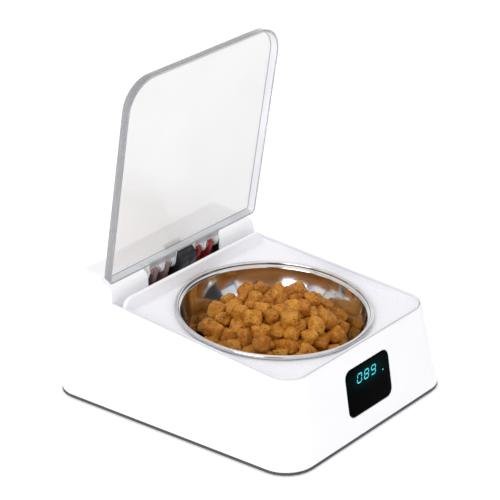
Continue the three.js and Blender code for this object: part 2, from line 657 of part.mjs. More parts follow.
// A bracket with a back plate, a foot and two ears that carry the shaft between the lid's arms.
function hingeBracket({ x0, x1, ears, holes }) {
  const bottom = DECK_TOP + 0.4;
  const back = box(x0, x1, BRACKET.back - BRACKET.plate, BRACKET.back, bottom, BRACKET.top);
  const foot = box(x0, x1, BRACKET.front, BRACKET.back, bottom, bottom + BRACKET.foot);
  const earOutline = [
    ...arc(HINGE_Y, HINGE_Z, BRACKET.earRadius, 90, 210, 6),
    [BRACKET.front + 0.2, 84],
    [BRACKET.front + 0.2, DECK_TOP + 1],
    [76, DECK_TOP + 1],
    [76, HINGE_Z + 3],
  ];
  const earPlates = ears.map((x) => slabX(earOutline, x - BRACKET.earHalf, x + BRACKET.earHalf));
  const bore = rodX(HINGE_Y, HINGE_Z, x0 - 1, x1 + 1, BUSH_RADIUS + GAP, 20);
  const screwHoles = holes.map(([x, y]) => rodZ(x, y, 60, 75, BRACKET_SCREW_RADIUS + GAP, 12));
  return cut(join([back, foot, ...earPlates]), [bore, ...screwHoles]);
}

const BRACKETS = {
  left: { x0: -45.5, x1: -13.6, ears: [-31.7, -18], holes: [[-42.5, 71], [-25, 71]] },
  right: { x0: 15.8, x1: 45.5, ears: [34.5, 20.4], holes: [[42.5, 71], [27.5, 71]] },
};

function shaftBush(x) {
  const collar = rodX(HINGE_Y, HINGE_Z, x - 2.4, x + 2.4, BUSH_RADIUS, 20);
  return collar.subtract(rodX(HINGE_Y, HINGE_Z, x - 5, x + 5, SHAFT_RADIUS + 0.32, 16));
}

function bracketScrew([x, y]) {
  const head = rodZ(x, y, DECK_TOP + 3.5, DECK_TOP + 5, 2.1, 12);
  return head.add(rodZ(x, y, DECK_TOP - 6, DECK_TOP + 3.6, BRACKET_SCREW_RADIUS, 10));
}

const FRAME_WALL = 2.5;
const TOE_END = 60;
const FRAME_SCREW_RADIUS = 1.3;

function rearFrame() {
  const deck = box(-FRAME_HALF, FRAME_HALF, FRAME_FRONT - 2, FRAME_BACK, DECK_TOP - 3, DECK_TOP);
  const legs = [-1, 1].map((side) => {
    const outer = side * FRAME_HALF;
    const x0 = Math.min(outer, outer - side * FRAME_WALL);
    const leg = box(x0, x0 + FRAME_WALL, FRAME_FRONT - 2, FRAME_BACK, PLATE_TOP + GAP, DECK_TOP - 1);
    const end = side * TOE_END;
    const toe = box(Math.min(outer, end), Math.max(outer, end), 76, 90, PLATE_TOP + GAP, PLATE_TOP + 3);
    return leg.add(toe);
  });
  const places = [...BRACKETS.left.holes, ...BRACKETS.right.holes];
  const studs = places.map(([x, y]) => rodZ(x, y, DECK_TOP - 9, DECK_TOP - 1, 2.6, 12));
  const holes = places.map(([x, y]) => rodZ(x, y, DECK_TOP - 7, DECK_TOP + 2, BRACKET_SCREW_RADIUS + GAP, 12));
  const toeHoles = FRAME_SCREWS.map(([x, y]) => rodZ(x, y, 0, 12, FRAME_SCREW_RADIUS + GAP, 12));
  return cut(join([deck, ...legs, ...studs]), [...holes, ...toeHoles]);
}

function frameScrew([x, y]) {
  return rodZ(x, y, 5.9, 7.4, 2.5, 12).add(rodZ(x, y, PLATE_TOP + 0.4, 6, FRAME_SCREW_RADIUS, 10));
}

// ---------------------------------------------------------------- power and electronics
const CELL = { radius: 9.2, half: 32.5, y: 84, heights: [15.5, 36] };

const HOLDER = { half: 38, front: 74, back: 96, wall: 2.2, bottom: 3.2, top: 49 };

function batteryHolder() {
  const { half, front, back: rear, wall, bottom, top } = HOLDER;
  const back = box(-half, half, rear - 2, rear, bottom + 0.8, top);
  const ends = [-half, half - wall].map((x) => box(x, x + wall, front, rear, bottom + 0.8, top));
  const foot = box(-half, half, front, rear, bottom, bottom + wall);
  return join([back, ...ends, foot]);
}

function batteryCell(z) {
  const can = rodX(CELL.y, z, -CELL.half, CELL.half - 2, CELL.radius, 24);
  return can.add(rodX(CELL.y, z, CELL.half - 2.5, CELL.half, 3, 14));
}

function mainBoard() {
  return box(BOARD.x0, BOARD.x1, BOARD.y0, BOARD.y1, BOARD.z, BOARD.z + BOARD_THICKNESS);
}

const USB_WALL = 0.5;

function usbSocket() {
  const { x, z, halfWidth, halfHeight } = USB;
  const shell = box(x - halfWidth, x + halfWidth, 109, 117, z - halfHeight, z + halfHeight);
  const mouth = box(x - halfWidth + USB_WALL, x + halfWidth - USB_WALL, 111, 120,
    z - halfHeight + USB_WALL, z + halfHeight - USB_WALL);
  const tongue = box(x - 3, x + 3, 110, 116, z - 0.35, z + 0.35);
  return shell.subtract(mouth).add(tongue);
}

// The charge socket's small board joins it to the main board behind it.
function usbBoard() {
  return box(USB.x - 8, USB.x + 8, 108.4, 116, USB.z - USB.halfHeight - 1.6, USB.z - USB.halfHeight - GAP);
}

const ROCKER_FACE = backAt(ROCKER.z);
const ROCKER_PIVOT = [ROCKER_FACE - 3, ROCKER.z];

const SWITCH_WALL = 1.2;
const SWITCH_FLANGE = 2.8;

// A block round the rocker, larger than it by the margin, between two depths from the wall's face.
function switchBlock(margin, inner, outer) {
  const { x, z, halfWidth, halfHeight } = ROCKER;
  return box(x - halfWidth - margin, x + halfWidth + margin, ROCKER_FACE + inner, ROCKER_FACE + outer,
    z - halfHeight - margin, z + halfHeight + margin);
}

function switchBody() {
  const shell = switchBlock(SWITCH_WALL, -14, 2.6);
  const flange = switchBlock(SWITCH_FLANGE, 2.2, 3.4);
  return shell.add(flange).subtract(switchBlock(0.4, -9, 8));
}

function rockerGeometry() {
  const { halfWidth, halfHeight } = ROCKER;
  const outline = [
    [-3.5, 0], [0, -halfHeight + 1.2], [5.6, -halfHeight + 0.7], [6, -halfHeight + 1.2],
    [4.6, 0], [6, halfHeight - 1.2], [5.6, halfHeight - 0.7], [0, halfHeight - 1.2],
  ];
  return geometryOf(slabX(outline, -halfWidth, halfWidth));
}

const BUTTON_FACE = backAt(BUTTON.z);

function tareButton() {
  const { x, z, radius } = BUTTON;
  const cap = rodY(x, z, BUTTON_FACE - 4, BUTTON_FACE + 1.4, radius, 24);
  const collar = rodY(x, z, BUTTON_FACE - 5.2, BUTTON_FACE - 3.8, radius + 1.4, 24);
  return cap.add(collar);
}

const tareSwitch = () => box(BUTTON.x - 3, BUTTON.x + 3, 106.6, 109.2, BUTTON.z - 3, BUTTON.z + 3);
const buttonBoard = () => box(BUTTON.x - 10, BUTTON.x + 10, 104.7, 106.3, BUTTON.z - 8, BUTTON.z + 8);

function displayBlock(x, y, width, height, z0, z1) {
  const geometry = new THREE.BoxGeometry(width, height, z1 - z0).translate(x, y, (z0 + z1) / 2);
  return solidOf(geometry.applyMatrix4(DISPLAY_FRAME));
}

function displayBoard() {
  const holes = DISPLAY_POSTS.map(([x, y]) => displayRod(x, y, -20, 0, SMALL_SCREW_HOLE, 10));
  const back = DISPLAY_BOARD_FRONT - BOARD_THICKNESS;
  return cut(displayBlock(0, 0, 66, 34, back, DISPLAY_BOARD_FRONT), holes);
}

function displayScrew([x, y]) {
  return displayRod(x, y, -12.6, -11.1, 2.2, 12).add(displayRod(x, y, -11.2, -4, SMALL_SCREW_RADIUS, 10));
}

const SENSOR = { y: -10.5, radius: 2.5, flange: 2.9, length: 4.5 };

function sensorLamp(x) {
  const back = DISPLAY_BOARD_FRONT + 0.3;
  const dome = displayRod(x, SENSOR.y, back, back + SENSOR.length, SENSOR.radius, 16);
  return dome.add(displayRod(x, SENSOR.y, back, back + 1, SENSOR.flange, 16));
}

// ---------------------------------------------------------------- the assembly
const feeder = new THREE.Group();

function add(parent, name, shape, surface) {
  const geometry = shape.isBufferGeometry ? shape : geometryOf(shape);
  const mesh = new THREE.Mesh(geometry, surface);
  mesh.name = name;
  parent.add(mesh);
  return mesh;
}

function addScrews(parent, name, places, makeScrew) {
  places.forEach((place, i) => add(parent, `${name}_${i + 1}`, makeScrew(place), SCREW_STEEL));
}

function closedGeometry(geometry) {
  return geometryOf(solidOf(geometry));
}

const shellGroup = new THREE.Group();
add(shellGroup, 'upper_housing', upperHousing(), WHITE_PLASTIC);
add(shellGroup, 'bowl_tray', bowlTray(), WHITE_PLASTIC);
add(shellGroup, 'lid_seal', lidSeal(), SEAL_RUBBER);
add(shellGroup, 'base_plate', basePlate(), GREY_PLASTIC);
FEET.forEach((place, i) => add(shellGroup, `foot_${i + 1}`, rubberFoot(place), RUBBER));
addScrews(shellGroup, 'housing_screw', HOUSING_SCREWS, plateScrew);
addScrews(shellGroup, 'tray_screw', TRAY_SCREWS, plateScrew);

const bowlGroup = new THREE.Group();
bowlGroup.applyMatrix4(BOWL_FRAME);
add(bowlGroup, 'bowl', closedGeometry(bowlGeometry()), STEEL);

const lidGroup = new THREE.Group();
lidGroup.position.set(0, HINGE_Y, HINGE_Z);
lidGroup.rotation.x = radians(SLOPE - LID_OPEN_ANGLE);
add(lidGroup, 'lid', lidSolid(), CLEAR_PLASTIC);

const driveGroup = new THREE.Group();
add(driveGroup, 'hinge_shaft', rodX(HINGE_Y, HINGE_Z, -SHAFT_HALF, SHAFT_HALF, SHAFT_RADIUS, 16), STEEL);
for (const [side, bracket] of Object.entries(BRACKETS)) {
  add(driveGroup, `hinge_bracket_${side}`, hingeBracket(bracket), MAROON_PLASTIC);
  add(driveGroup, `shaft_bush_${side}`, shaftBush(bracket.ears[0]), BRASS);
  addScrews(driveGroup, `bracket_screw_${side}`, bracket.holes, bracketScrew);
}
add(driveGroup, 'gearbox_case', gearboxCase(), BLACK_PLASTIC);
add(driveGroup, 'gearbox_cover', gearboxCover(), BLACK_PLASTIC);
add(driveGroup, 'lid_gear', lidGear(), NYLON);
add(driveGroup, 'idler_gear', idlerGear(), NYLON);
const idlerPin = rodX(...IDLER, GEARBOX_LEFT + 0.3, GEARBOX_RIGHT - 0.1, PIN_RADIUS, 10);
add(driveGroup, 'idler_pin', idlerPin, SCREW_STEEL);
add(driveGroup, 'motor_pinion', motorPinion(), BRASS);
add(driveGroup, 'motor_shaft', motorShaft(), SCREW_STEEL);
add(driveGroup, 'lid_motor', lidMotor(), STEEL);
add(driveGroup, 'rear_frame', rearFrame(), GREY_PLASTIC);
addScrews(driveGroup, 'frame_screw', FRAME_SCREWS, frameScrew);

const weighGroup = new THREE.Group();
add(weighGroup, 'load_cell', loadCell(), ALUMINIUM);
add(weighGroup, 'weigh_plate', weighPlate(), GREY_PLASTIC);

const powerGroup = new THREE.Group();
add(powerGroup, 'battery_holder', batteryHolder(), BLACK_PLASTIC);
CELL.heights.forEach((z, i) => add(powerGroup, `battery_cell_${i + 1}`, batteryCell(z), CELL_WRAP));
add(powerGroup, 'main_board', mainBoard(), BOARD_GREEN);
add(powerGroup, 'controller_chip', box(-78, -66, 82, 94, BOARD.z + 1.9, BOARD.z + 3.4), BLACK_PLASTIC);
add(powerGroup, 'usb_socket', usbSocket(), SCREW_STEEL);
add(powerGroup, 'usb_board', usbBoard(), BOARD_GREEN);
add(powerGroup, 'switch_body', switchBody(), BLACK_PLASTIC);
const rocker = add(powerGroup, 'power_rocker', rockerGeometry(), BLACK_PLASTIC);
rocker.position.set(ROCKER.x, ...ROCKER_PIVOT);
rocker.rotation.x = radians(10);
add(powerGroup, 'tare_button', tareButton(), WHITE_PLASTIC);
add(powerGroup, 'tare_switch', tareSwitch(), BLACK_PLASTIC);
add(powerGroup, 'button_board', buttonBoard(), BOARD_GREEN);

const displayGroup = new THREE.Group();
const windowPlate = displayPlate(DISPLAY_WIDTH, DISPLAY_HEIGHT, DISPLAY_CORNER,
  DISPLAY_WINDOW_BACK, DISPLAY_WINDOW_FACE);
add(displayGroup, 'display_window', windowPlate, BLACK_GLASS);
add(displayGroup, 'display_board', displayBoard(), BOARD_GREEN);
add(displayGroup, 'digit_module', displayBlock(0, 7, 40, 17, -8.9, -3), BLACK_PLASTIC);
addScrews(displayGroup, 'display_screw', DISPLAY_POSTS, displayScrew);
add(displayGroup, 'sensor_emitter', sensorLamp(-9), BLACK_PLASTIC);
add(displayGroup, 'sensor_receiver', sensorLamp(9), BLACK_PLASTIC);

feeder.add(shellGroup, bowlGroup, lidGroup, driveGroup, weighGroup, powerGroup, displayGroup);

export default feeder;
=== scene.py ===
"""Looks of the automatic pet feeder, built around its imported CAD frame.

Lengths here are millimetres in the feeder's own frame, and mesh() turns them into metres.
The shell, tray, bowl, lid and display window are rebuilt with finer curves and rounded edges;
every other CAD node is kept, with softened edges and a procedural material.
"""

import json
import math
import random

import bmesh
import bpy
import numpy as np
from mathutils import Matrix, Vector, noise


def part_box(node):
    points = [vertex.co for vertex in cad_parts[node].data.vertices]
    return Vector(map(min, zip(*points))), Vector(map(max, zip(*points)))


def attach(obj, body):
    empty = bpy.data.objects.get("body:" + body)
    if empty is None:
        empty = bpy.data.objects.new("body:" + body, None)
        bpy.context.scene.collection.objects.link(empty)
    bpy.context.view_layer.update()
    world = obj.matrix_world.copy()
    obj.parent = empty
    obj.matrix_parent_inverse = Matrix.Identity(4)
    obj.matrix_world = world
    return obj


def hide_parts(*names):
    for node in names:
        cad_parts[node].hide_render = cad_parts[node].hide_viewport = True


MM = 0.001
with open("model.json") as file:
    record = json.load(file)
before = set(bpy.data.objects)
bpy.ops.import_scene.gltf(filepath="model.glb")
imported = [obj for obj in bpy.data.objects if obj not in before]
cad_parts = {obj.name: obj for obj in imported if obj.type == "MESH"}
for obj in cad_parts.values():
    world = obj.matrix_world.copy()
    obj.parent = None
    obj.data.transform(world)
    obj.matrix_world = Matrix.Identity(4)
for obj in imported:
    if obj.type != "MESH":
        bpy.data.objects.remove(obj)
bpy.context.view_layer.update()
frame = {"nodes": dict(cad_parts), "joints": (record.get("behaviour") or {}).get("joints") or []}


def span(node):
    """A CAD node's lowest and highest corners, in millimetres."""
    low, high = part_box(node)
    return low / MM, high / MM


# ---------------------------------------------------------------- driving dimensions
BASE_LOW, BASE_HIGH = span("base_plate")
SHELL_LOW, SHELL_HIGH = span("upper_housing")
SIDE_DRAFT, FRONT_DRAFT, BACK_DRAFT = 9.15, 7.7, 10.8
CORNER_RADIUS, CORNER_SHRINK = 24, 0.054
WALL, GAP = 2.2, 0.35
SLOPE = 4.93
RIM_FRONT_HEIGHT = 70.8
RIM_WALL, TRAY_WALL, TRAY_DEPTH, TRAY_FLOOR = 1.7, 1.4, 5.7, 2.2
TRAY_INSET = RIM_WALL + GAP
RIDGE_FRONT, RIDGE_BACK, RIDGE_TOP, RIDGE_CORNER = 51.2, 54.6, 91, 9
TROUGH_TOP, TROUGH_BACK = 79.6, 62.2
HINGE = next(j for j in frame["joints"] if j["name"] == "lid_hinge")["pos_m"]
HINGE_Y, HINGE_Z = HINGE[1] / MM, HINGE[2] / MM
BAR_RADIUS, BAR_WALL_BOTTOM = 6.6, 77.4
HUMP_TOP = SHELL_HIGH.z
HUMP_STEP_FRONT, HUMP_STEP_BACK, HUMP_EDGE, HUMP_END = 75, 80, 9, 12
WINDOW_HALF, WINDOW_BOTTOM, WINDOW_BACK = 43.8, 83.5, 74.5
LID_OPEN_ANGLE = 84
LID_START, LID_LENGTH, LID_HALF_WIDTH = 12, 168.2, 85.8
LID_TOP, LID_SKIRT, LID_FLARE, LID_WALL = 3, 7.47, 1.6, 2
LID_FAR_CORNER, LID_NEAR_CORNER = 24, 3
HUB_RADIUS, SHAFT_RADIUS, ARM_THICKNESS = 4, 2, 2.4
ARM_GROUPS = ((-40.5, -23, -9.6), (13.6, 27, 42))
BOWL_Y, BOWL_RIM_DEPTH, BOWL_RIM_RADIUS, BOWL_ROLL = -26.7, 3.6, 75, 1.7
BOWL_INNER_RADIUS, BOWL_DEPTH, BOWL_METAL, BOWL_HOLE = 72, 46, 0.9, 74.2
BOWL_CENTRE_HEIGHT = 10
BOWL_HALF_HEIGHT = 60
DISPLAY_WIDTH, DISPLAY_HEIGHT, DISPLAY_CORNER, DISPLAY_MIDDLE = 53, 37.6, 6.5, 37.7
ROCKER_X, ROCKER_Z, ROCKER_HALF_WIDTH, ROCKER_HALF_HEIGHT = 60, 32, 5, 7.5
BUTTON_X, BUTTON_Z, BUTTON_RADIUS = 36, 32, 4.5
FAR = 150
SHARP_ANGLE = 34


def tangent(degrees):
    return math.tan(math.radians(degrees))


# ---------------------------------------------------------------- camera
AZIMUTH, ELEVATION, ROLL = -50.27, 24.16, -1.41
CAMERA_DISTANCE, CAMERA_LENS, SENSOR_WIDTH, CAMERA_REACH = 1.6639, 156.63, 36, 50
CAMERA_TARGET = Vector((0.00244, -0.0019, 0.1160))


def make_camera():
    a, e = math.radians(AZIMUTH), math.radians(ELEVATION)
    back = Vector((math.sin(a) * math.cos(e), -math.cos(a) * math.cos(e), math.sin(e)))
    right = Vector((math.cos(a), math.sin(a), 0))
    up = back.cross(right)
    r = math.radians(ROLL)
    tilted_right = right * math.cos(r) + up * math.sin(r)
    tilted_up = up * math.cos(r) - right * math.sin(r)
    turn = Matrix((tilted_right, tilted_up, back)).transposed()
    camera = bpy.data.objects.new("camera", bpy.data.cameras.new("camera"))
    camera.data.lens = CAMERA_LENS
    camera.data.sensor_width = SENSOR_WIDTH
    camera.data.clip_end = CAMERA_REACH
    camera.matrix_world = Matrix.Translation(CAMERA_TARGET + back * CAMERA_DISTANCE) @ turn.to_4x4()
    bpy.context.scene.collection.objects.link(camera)
    bpy.context.scene.camera = camera


# ---------------------------------------------------------------- materials
def new_material(name):
    made = bpy.data.materials.new(name)
    made.use_nodes = True
    nodes = made.node_tree.nodes
    return made, nodes, made.node_tree.links, nodes["Principled BSDF"]


def noise_at(nodes, links, scale, detail=3.0, stretch=(1, 1, 1)):
    """Noise in the piece's own coordinates; scale is in cycles to the millimetre."""
    place = nodes.new("ShaderNodeTexCoord")
    mapping = nodes.new("ShaderNodeMapping")
    mapping.inputs["Scale"].default_value = tuple(s * scale / MM for s in stretch)
    texture = nodes.new("ShaderNodeTexNoise")
    texture.inputs["Scale"].default_value = 1
    texture.inputs["Detail"].default_value = detail
    links.new(place.outputs["Object"], mapping.inputs["Vector"])
    links.new(mapping.outputs["Vector"], texture.inputs["Vector"])
    return texture.outputs["Fac"]


def coordinates(nodes, links, kind="Object"):
    """The X, Y and Z outputs of the coordinates of that kind."""
    place = nodes.new("ShaderNodeTexCoord")
    apart = nodes.new("ShaderNodeSeparateXYZ")
    links.new(place.outputs[kind], apart.inputs["Vector"])
    return apart.outputs


def ramp(nodes, links, value, stops):
    """A colour from a value, by (place, colour) stops in any order."""
    made = nodes.new("ShaderNodeValToRGB")
    elements = made.color_ramp.elements
    while len(elements) < len(stops):
        elements.new(0.5)
    for element, (place, color) in zip(elements, sorted(stops)):
        element.position = place
        element.color = (*color, 1)
    links.new(value, made.inputs["Fac"])
    return made.outputs["Color"]


def multiplied(nodes, links, color, other):
    """One colour times another."""
    made = nodes.new("ShaderNodeMix")
    made.data_type = "RGBA"
    made.blend_type = "MULTIPLY"
    made.inputs["Factor"].default_value = 1
    links.new(color, made.inputs["A"])
    links.new(other, made.inputs["B"])
    return made.outputs["Result"]


def spread(nodes, links, value, low, high, source=(0.3, 0.7)):
    """A value spread over low to high; noise lies mostly between 0.3 and 0.7."""
    made = nodes.new("ShaderNodeMapRange")
    made.inputs["From Min"].default_value = source[0]
    made.inputs["From Max"].default_value = source[1]
    made.inputs["To Min"].default_value = low
    made.inputs["To Max"].default_value = high
    links.new(value, made.inputs["Value"])
    return made.outputs["Result"]


def bump(nodes, links, value, shader, height):
    """Bump of that height in millimetres."""
    made = nodes.new("ShaderNodeBump")
    made.inputs["Distance"].default_value = height * MM
    links.new(value, made.inputs["Height"])
    links.new(made.outputs["Normal"], shader.inputs["Normal"])


def surface(name, dark, light, rough, metallic=0.0, tone=0.03, grain=1.5, height=0.02,
            stretch=(1, 1, 1), coat=0.0, specular=0.5):
    """Plastic, rubber or metal: two close tones in slow patches, and a fine grain in gloss and relief."""
    made, nodes, links, shader = new_material(name)
    shader.inputs["Metallic"].default_value = metallic
    shader.inputs["Coat Weight"].default_value = coat
    shader.inputs["Coat Roughness"].default_value = 0.06
    shader.inputs["Specular IOR Level"].default_value = specular
    patches = noise_at(nodes, links, tone, 2.0)
    links.new(ramp(nodes, links, patches, [(0.3, dark), (0.7, light)]), shader.inputs["Base Color"])
    fine = noise_at(nodes, links, grain, 4.0, stretch)
    links.new(spread(nodes, links, fine, *rough), shader.inputs["Roughness"])
    bump(nodes, links, fine, shader, height)
    return made


WHITE = surface("white_abs", (0.935, 0.932, 0.945), (0.95, 0.947, 0.96), (0.16, 0.24), grain=0.5,
                height=0.004, specular=0.35)
TRAY_WHITE = surface("white_tray", (0.945, 0.937, 0.965), (0.96, 0.952, 0.98), (0.2, 0.3), grain=0.6,
                     height=0.005, specular=0.35)
SEAL_WHITE = surface("seal_silicone", (0.84, 0.835, 0.87), (0.88, 0.875, 0.91), (0.4, 0.55), grain=1.2)
BASE_GREY = surface("base_textured", (0.055, 0.06, 0.066), (0.075, 0.08, 0.087), (0.5, 0.65), grain=2.5,
                    height=0.04)
RUBBER = surface("foot_rubber", (0.022, 0.022, 0.023), (0.035, 0.035, 0.036), (0.75, 0.9), grain=2.0,
                 height=0.05)
SCREW_STEEL = surface("zinc_screw", (0.46, 0.46, 0.47), (0.62, 0.62, 0.6), (0.26, 0.42), 1.0, grain=1.2)
SHAFT_STEEL = surface("ground_steel", (0.52, 0.52, 0.53), (0.66, 0.66, 0.67), (0.16, 0.3), 1.0, grain=3,
                      height=0.006, stretch=(0.05, 1, 1))
# The left bracket is the same maroon as the right one. Its paler, browner tone is a painted reflection of
# the clear arms in front of it. Both are also lighter than their own colour: painted light standing in for
# the light the deep window lacks.
MAROON_PAINTED_REFLECTION = surface("bracket_maroon_painted_reflection", (0.2, 0.12, 0.115), (0.28, 0.175, 0.165), (0.3, 0.45), grain=1.4)
RED = surface("bracket_red", (0.22, 0.012, 0.012), (0.32, 0.022, 0.02), (0.3, 0.45), grain=1.4)
BRONZE = surface("sintered_bush", (0.3, 0.22, 0.18), (0.42, 0.32, 0.26), (0.4, 0.55), grain=2)
BRASS = surface("turned_brass", (0.55, 0.36, 0.12), (0.7, 0.5, 0.2), (0.2, 0.34), 1.0, grain=2)
BLACK = surface("black_moulded", (0.009, 0.009, 0.01), (0.016, 0.016, 0.018), (0.3, 0.45), grain=1.8,
                height=0.03)
NYLON = surface("gear_nylon", (0.68, 0.64, 0.52), (0.78, 0.74, 0.64), (0.4, 0.55), grain=0.8)
ALUMINIUM = surface("milled_aluminium", (0.55, 0.56, 0.57), (0.68, 0.69, 0.7), (0.26, 0.42), 1.0, grain=2.2,
                    stretch=(0.04, 1, 1))
CELL_WRAP = surface("cell_wrap", (0.02, 0.1, 0.28), (0.03, 0.15, 0.38), (0.22, 0.32), grain=0.4, coat=0.4)
BOARD_GREEN = surface("solder_mask", (0.008, 0.07, 0.03), (0.014, 0.12, 0.05), (0.22, 0.36), grain=0.9,
                      coat=0.3)


def bowl_steel():
    """Polished stainless steel with the faint rings that spinning and polishing leave."""
    made, nodes, links, shader = new_material("polished_steel")
    shader.inputs["Metallic"].default_value = 1
    patches = noise_at(nodes, links, 0.05, 2.0)
    tones = ramp(nodes, links, patches, [(0.3, (0.6, 0.59, 0.58)), (0.7, (0.7, 0.69, 0.68))])
    links.new(tones, shader.inputs["Base Color"])
    rings = nodes.new("ShaderNodeTexNoise")
    rings.noise_dimensions = "1D"
    rings.inputs["Scale"].default_value = 1.6 / MM
    rings.inputs["Detail"].default_value = 2
    links.new(coordinates(nodes, links)["Z"], rings.inputs["W"])
    links.new(spread(nodes, links, rings.outputs["Fac"], 0.06, 0.13), shader.inputs["Roughness"])
    bump(nodes, links, rings.outputs["Fac"], shader, 0.004)
    return made


BLUE_TINT = 1.03


def clear_acrylic(name, dark, light, clearness, painted_shades=()):
    """Clear acrylic, with slow waves in its surface from moulding and a little haze.

    Painted shades are (x, share) pairs of painted shade across the lid's width: how much of the colour is
    left at that x, in millimetres.
    """
    made, nodes, links, shader = new_material(name)
    shader.inputs["Transmission Weight"].default_value = clearness
    shader.inputs["IOR"].default_value = 1.49
    patches = noise_at(nodes, links, 0.02, 1.0)
    tones = ramp(nodes, links, patches, [(0.3, dark), (0.7, light)])
    # Painted shade: the colour darkens across the lid's width, as light falls on its sides.
    if painted_shades:
        across = spread(nodes, links, coordinates(nodes, links)["X"], 0, 1,
                        (-LID_HALF_WIDTH * MM, LID_HALF_WIDTH * MM))
        fade = ramp(nodes, links, across, [
            ((x / LID_HALF_WIDTH + 1) / 2, (share, share, share * BLUE_TINT)) for x, share in painted_shades])
        tones = multiplied(nodes, links, tones, fade)
    links.new(tones, shader.inputs["Base Color"])
    links.new(spread(nodes, links, noise_at(nodes, links, 0.4, 2.0), 0.01, 0.03), shader.inputs["Roughness"])
    bump(nodes, links, noise_at(nodes, links, 0.03, 1.0), shader, 0.02)
    return made


def kibble_crust():
    """Baked kibble: each piece has its own tone, darker in its dents as painted shade, with pale crumbs,
    dark pores and a rough crust.
    """
    made, nodes, links, shader = new_material("kibble_crust")
    own = nodes.new("ShaderNodeAttribute")
    own.attribute_name = "tone"
    patches = noise_at(nodes, links, 0.16, 3.0)
    blend = nodes.new("ShaderNodeMath")
    blend.operation = "MULTIPLY_ADD"
    links.new(patches, blend.inputs[0])
    blend.inputs[1].default_value = 0.8
    links.new(own.outputs["Fac"], blend.inputs[2])
    crust = ramp(nodes, links, blend.outputs["Value"], [
        (0.25, (0.33, 0.1, 0.009)), (0.5, (0.56, 0.215, 0.022)), (0.8, (0.75, 0.36, 0.055))])
    pores = noise_at(nodes, links, 0.75, 2.0)
    pore_mask = ramp(nodes, links, pores, [(0.32, (0.4, 0.3, 0.22)), (0.45, (1, 1, 1))])
    links.new(multiplied(nodes, links, crust, pore_mask), shader.inputs["Base Color"])
    grain = noise_at(nodes, links, 0.55, 5.0)
    links.new(spread(nodes, links, grain, 0.42, 0.66), shader.inputs["Roughness"])
    shader.inputs["Specular IOR Level"].default_value = 0.25
    bump(nodes, links, grain, shader, 1.3)
    return made


def lit_window(center, reach):
    """Polished black window, with the glow of the lit digits scattered in it."""
    made, nodes, links, shader = new_material("black_window")
    shader.inputs["Specular IOR Level"].default_value = 0.006
    patches = noise_at(nodes, links, 0.05, 2.0)
    tones = ramp(nodes, links, patches, [(0.3, (0.0012, 0.0013, 0.0012)), (0.7, (0.002, 0.002, 0.0018))])
    links.new(tones, shader.inputs["Base Color"])
    links.new(spread(nodes, links, noise_at(nodes, links, 0.5), 0.08, 0.14), shader.inputs["Roughness"])
    place = nodes.new("ShaderNodeTexCoord")
    mapping = nodes.new("ShaderNodeMapping")
    mapping.vector_type = "TEXTURE"
    mapping.inputs["Location"].default_value = [c * MM for c in center]
    mapping.inputs["Scale"].default_value = [r * MM for r in reach]
    halo = nodes.new("ShaderNodeTexGradient")
    halo.gradient_type = "QUADRATIC_SPHERE"
    links.new(place.outputs["Object"], mapping.inputs["Vector"])
    links.new(mapping.outputs["Vector"], halo.inputs["Vector"])
    glow = ramp(nodes, links, halo.outputs["Fac"], [
        (0.0, (0, 0, 0)), (0.35, (0.0, 0.008, 0.01)), (1.0, (0.001, 0.034, 0.042))])
    links.new(glow, shader.inputs["Emission Color"])
    shader.inputs["Emission Strength"].default_value = 1
    return made


def lit_segment():
    """A lit segment, a little brighter in some places than in others."""
    made, nodes, links, shader = new_material("lit_segment")
    patches = noise_at(nodes, links, 0.5, 1.0)
    glow = ramp(nodes, links, patches, [(0.3, (0.02, 0.5, 0.6)), (0.7, (0.09, 0.74, 0.8))])
    links.new(glow, shader.inputs["Emission Color"])
    shader.inputs["Emission Strength"].default_value = 1
    shader.inputs["Base Color"].default_value = (0.02, 0.2, 0.23, 1)
    return made


STEEL = bowl_steel()
PANE = clear_acrylic("acrylic_pane", (0.88, 0.878, 0.872), (0.905, 0.903, 0.895), 0.7)
# The side, skirt and edge copies of the clear acrylic are darker than the pane: painted shade on one clear
# piece. The side copy is near full tone only at its right end.
SIDE = clear_acrylic("acrylic_side_painted_shade", (0.86, 0.87, 0.875), (0.92, 0.925, 0.93), 0.6,
                     painted_shades=((-85, 0.43), (-60, 0.36), (50, 0.32), (85, 0.97)))
SKIRT = clear_acrylic("acrylic_skirt_painted_shade", (0.62, 0.63, 0.64), (0.7, 0.71, 0.72), 0.5)
EDGE = clear_acrylic("acrylic_edge_painted_shade", (0.36, 0.375, 0.39), (0.44, 0.455, 0.47), 0.6)
ARM = clear_acrylic("acrylic_arm", (0.88, 0.88, 0.88), (0.95, 0.95, 0.95), 0.5)
KIBBLE = kibble_crust()


# ---------------------------------------------------------------- mesh helpers
def mesh(name, points, faces, matrix=None):
    """An object from points in millimetres."""
    data = bpy.data.meshes.new(name)
    place = matrix or Matrix.Identity(4)
    data.from_pydata([(place @ Vector(p)) * MM for p in points], [], faces)
    made = bpy.data.objects.new(name, data)
    bpy.context.scene.collection.objects.link(made)
    edit(made, lambda bm: bmesh.ops.recalc_face_normals(bm, faces=bm.faces))
    return made


def edit(target, change):
    """Changes a mesh through bmesh."""
    bm = bmesh.new()
    bm.from_mesh(target.data)
    change(bm)
    bm.to_mesh(target.data)
    bm.free()


def loft(name, rings, matrix=None):
    """A closed solid through rings of equal point count."""
    count = len(rings[0])
    faces = []
    for level in range(len(rings) - 1):
        for i in range(count):
            a, b = level * count + i, level * count + (i + 1) % count
            faces.append((a, b, b + count, a + count))
    faces.append(tuple(range(count))[::-1])
    faces.append(tuple(range((len(rings) - 1) * count, len(rings) * count)))
    return mesh(name, [p for ring in rings for p in ring], faces, matrix)


LATHE_STEPS = 160


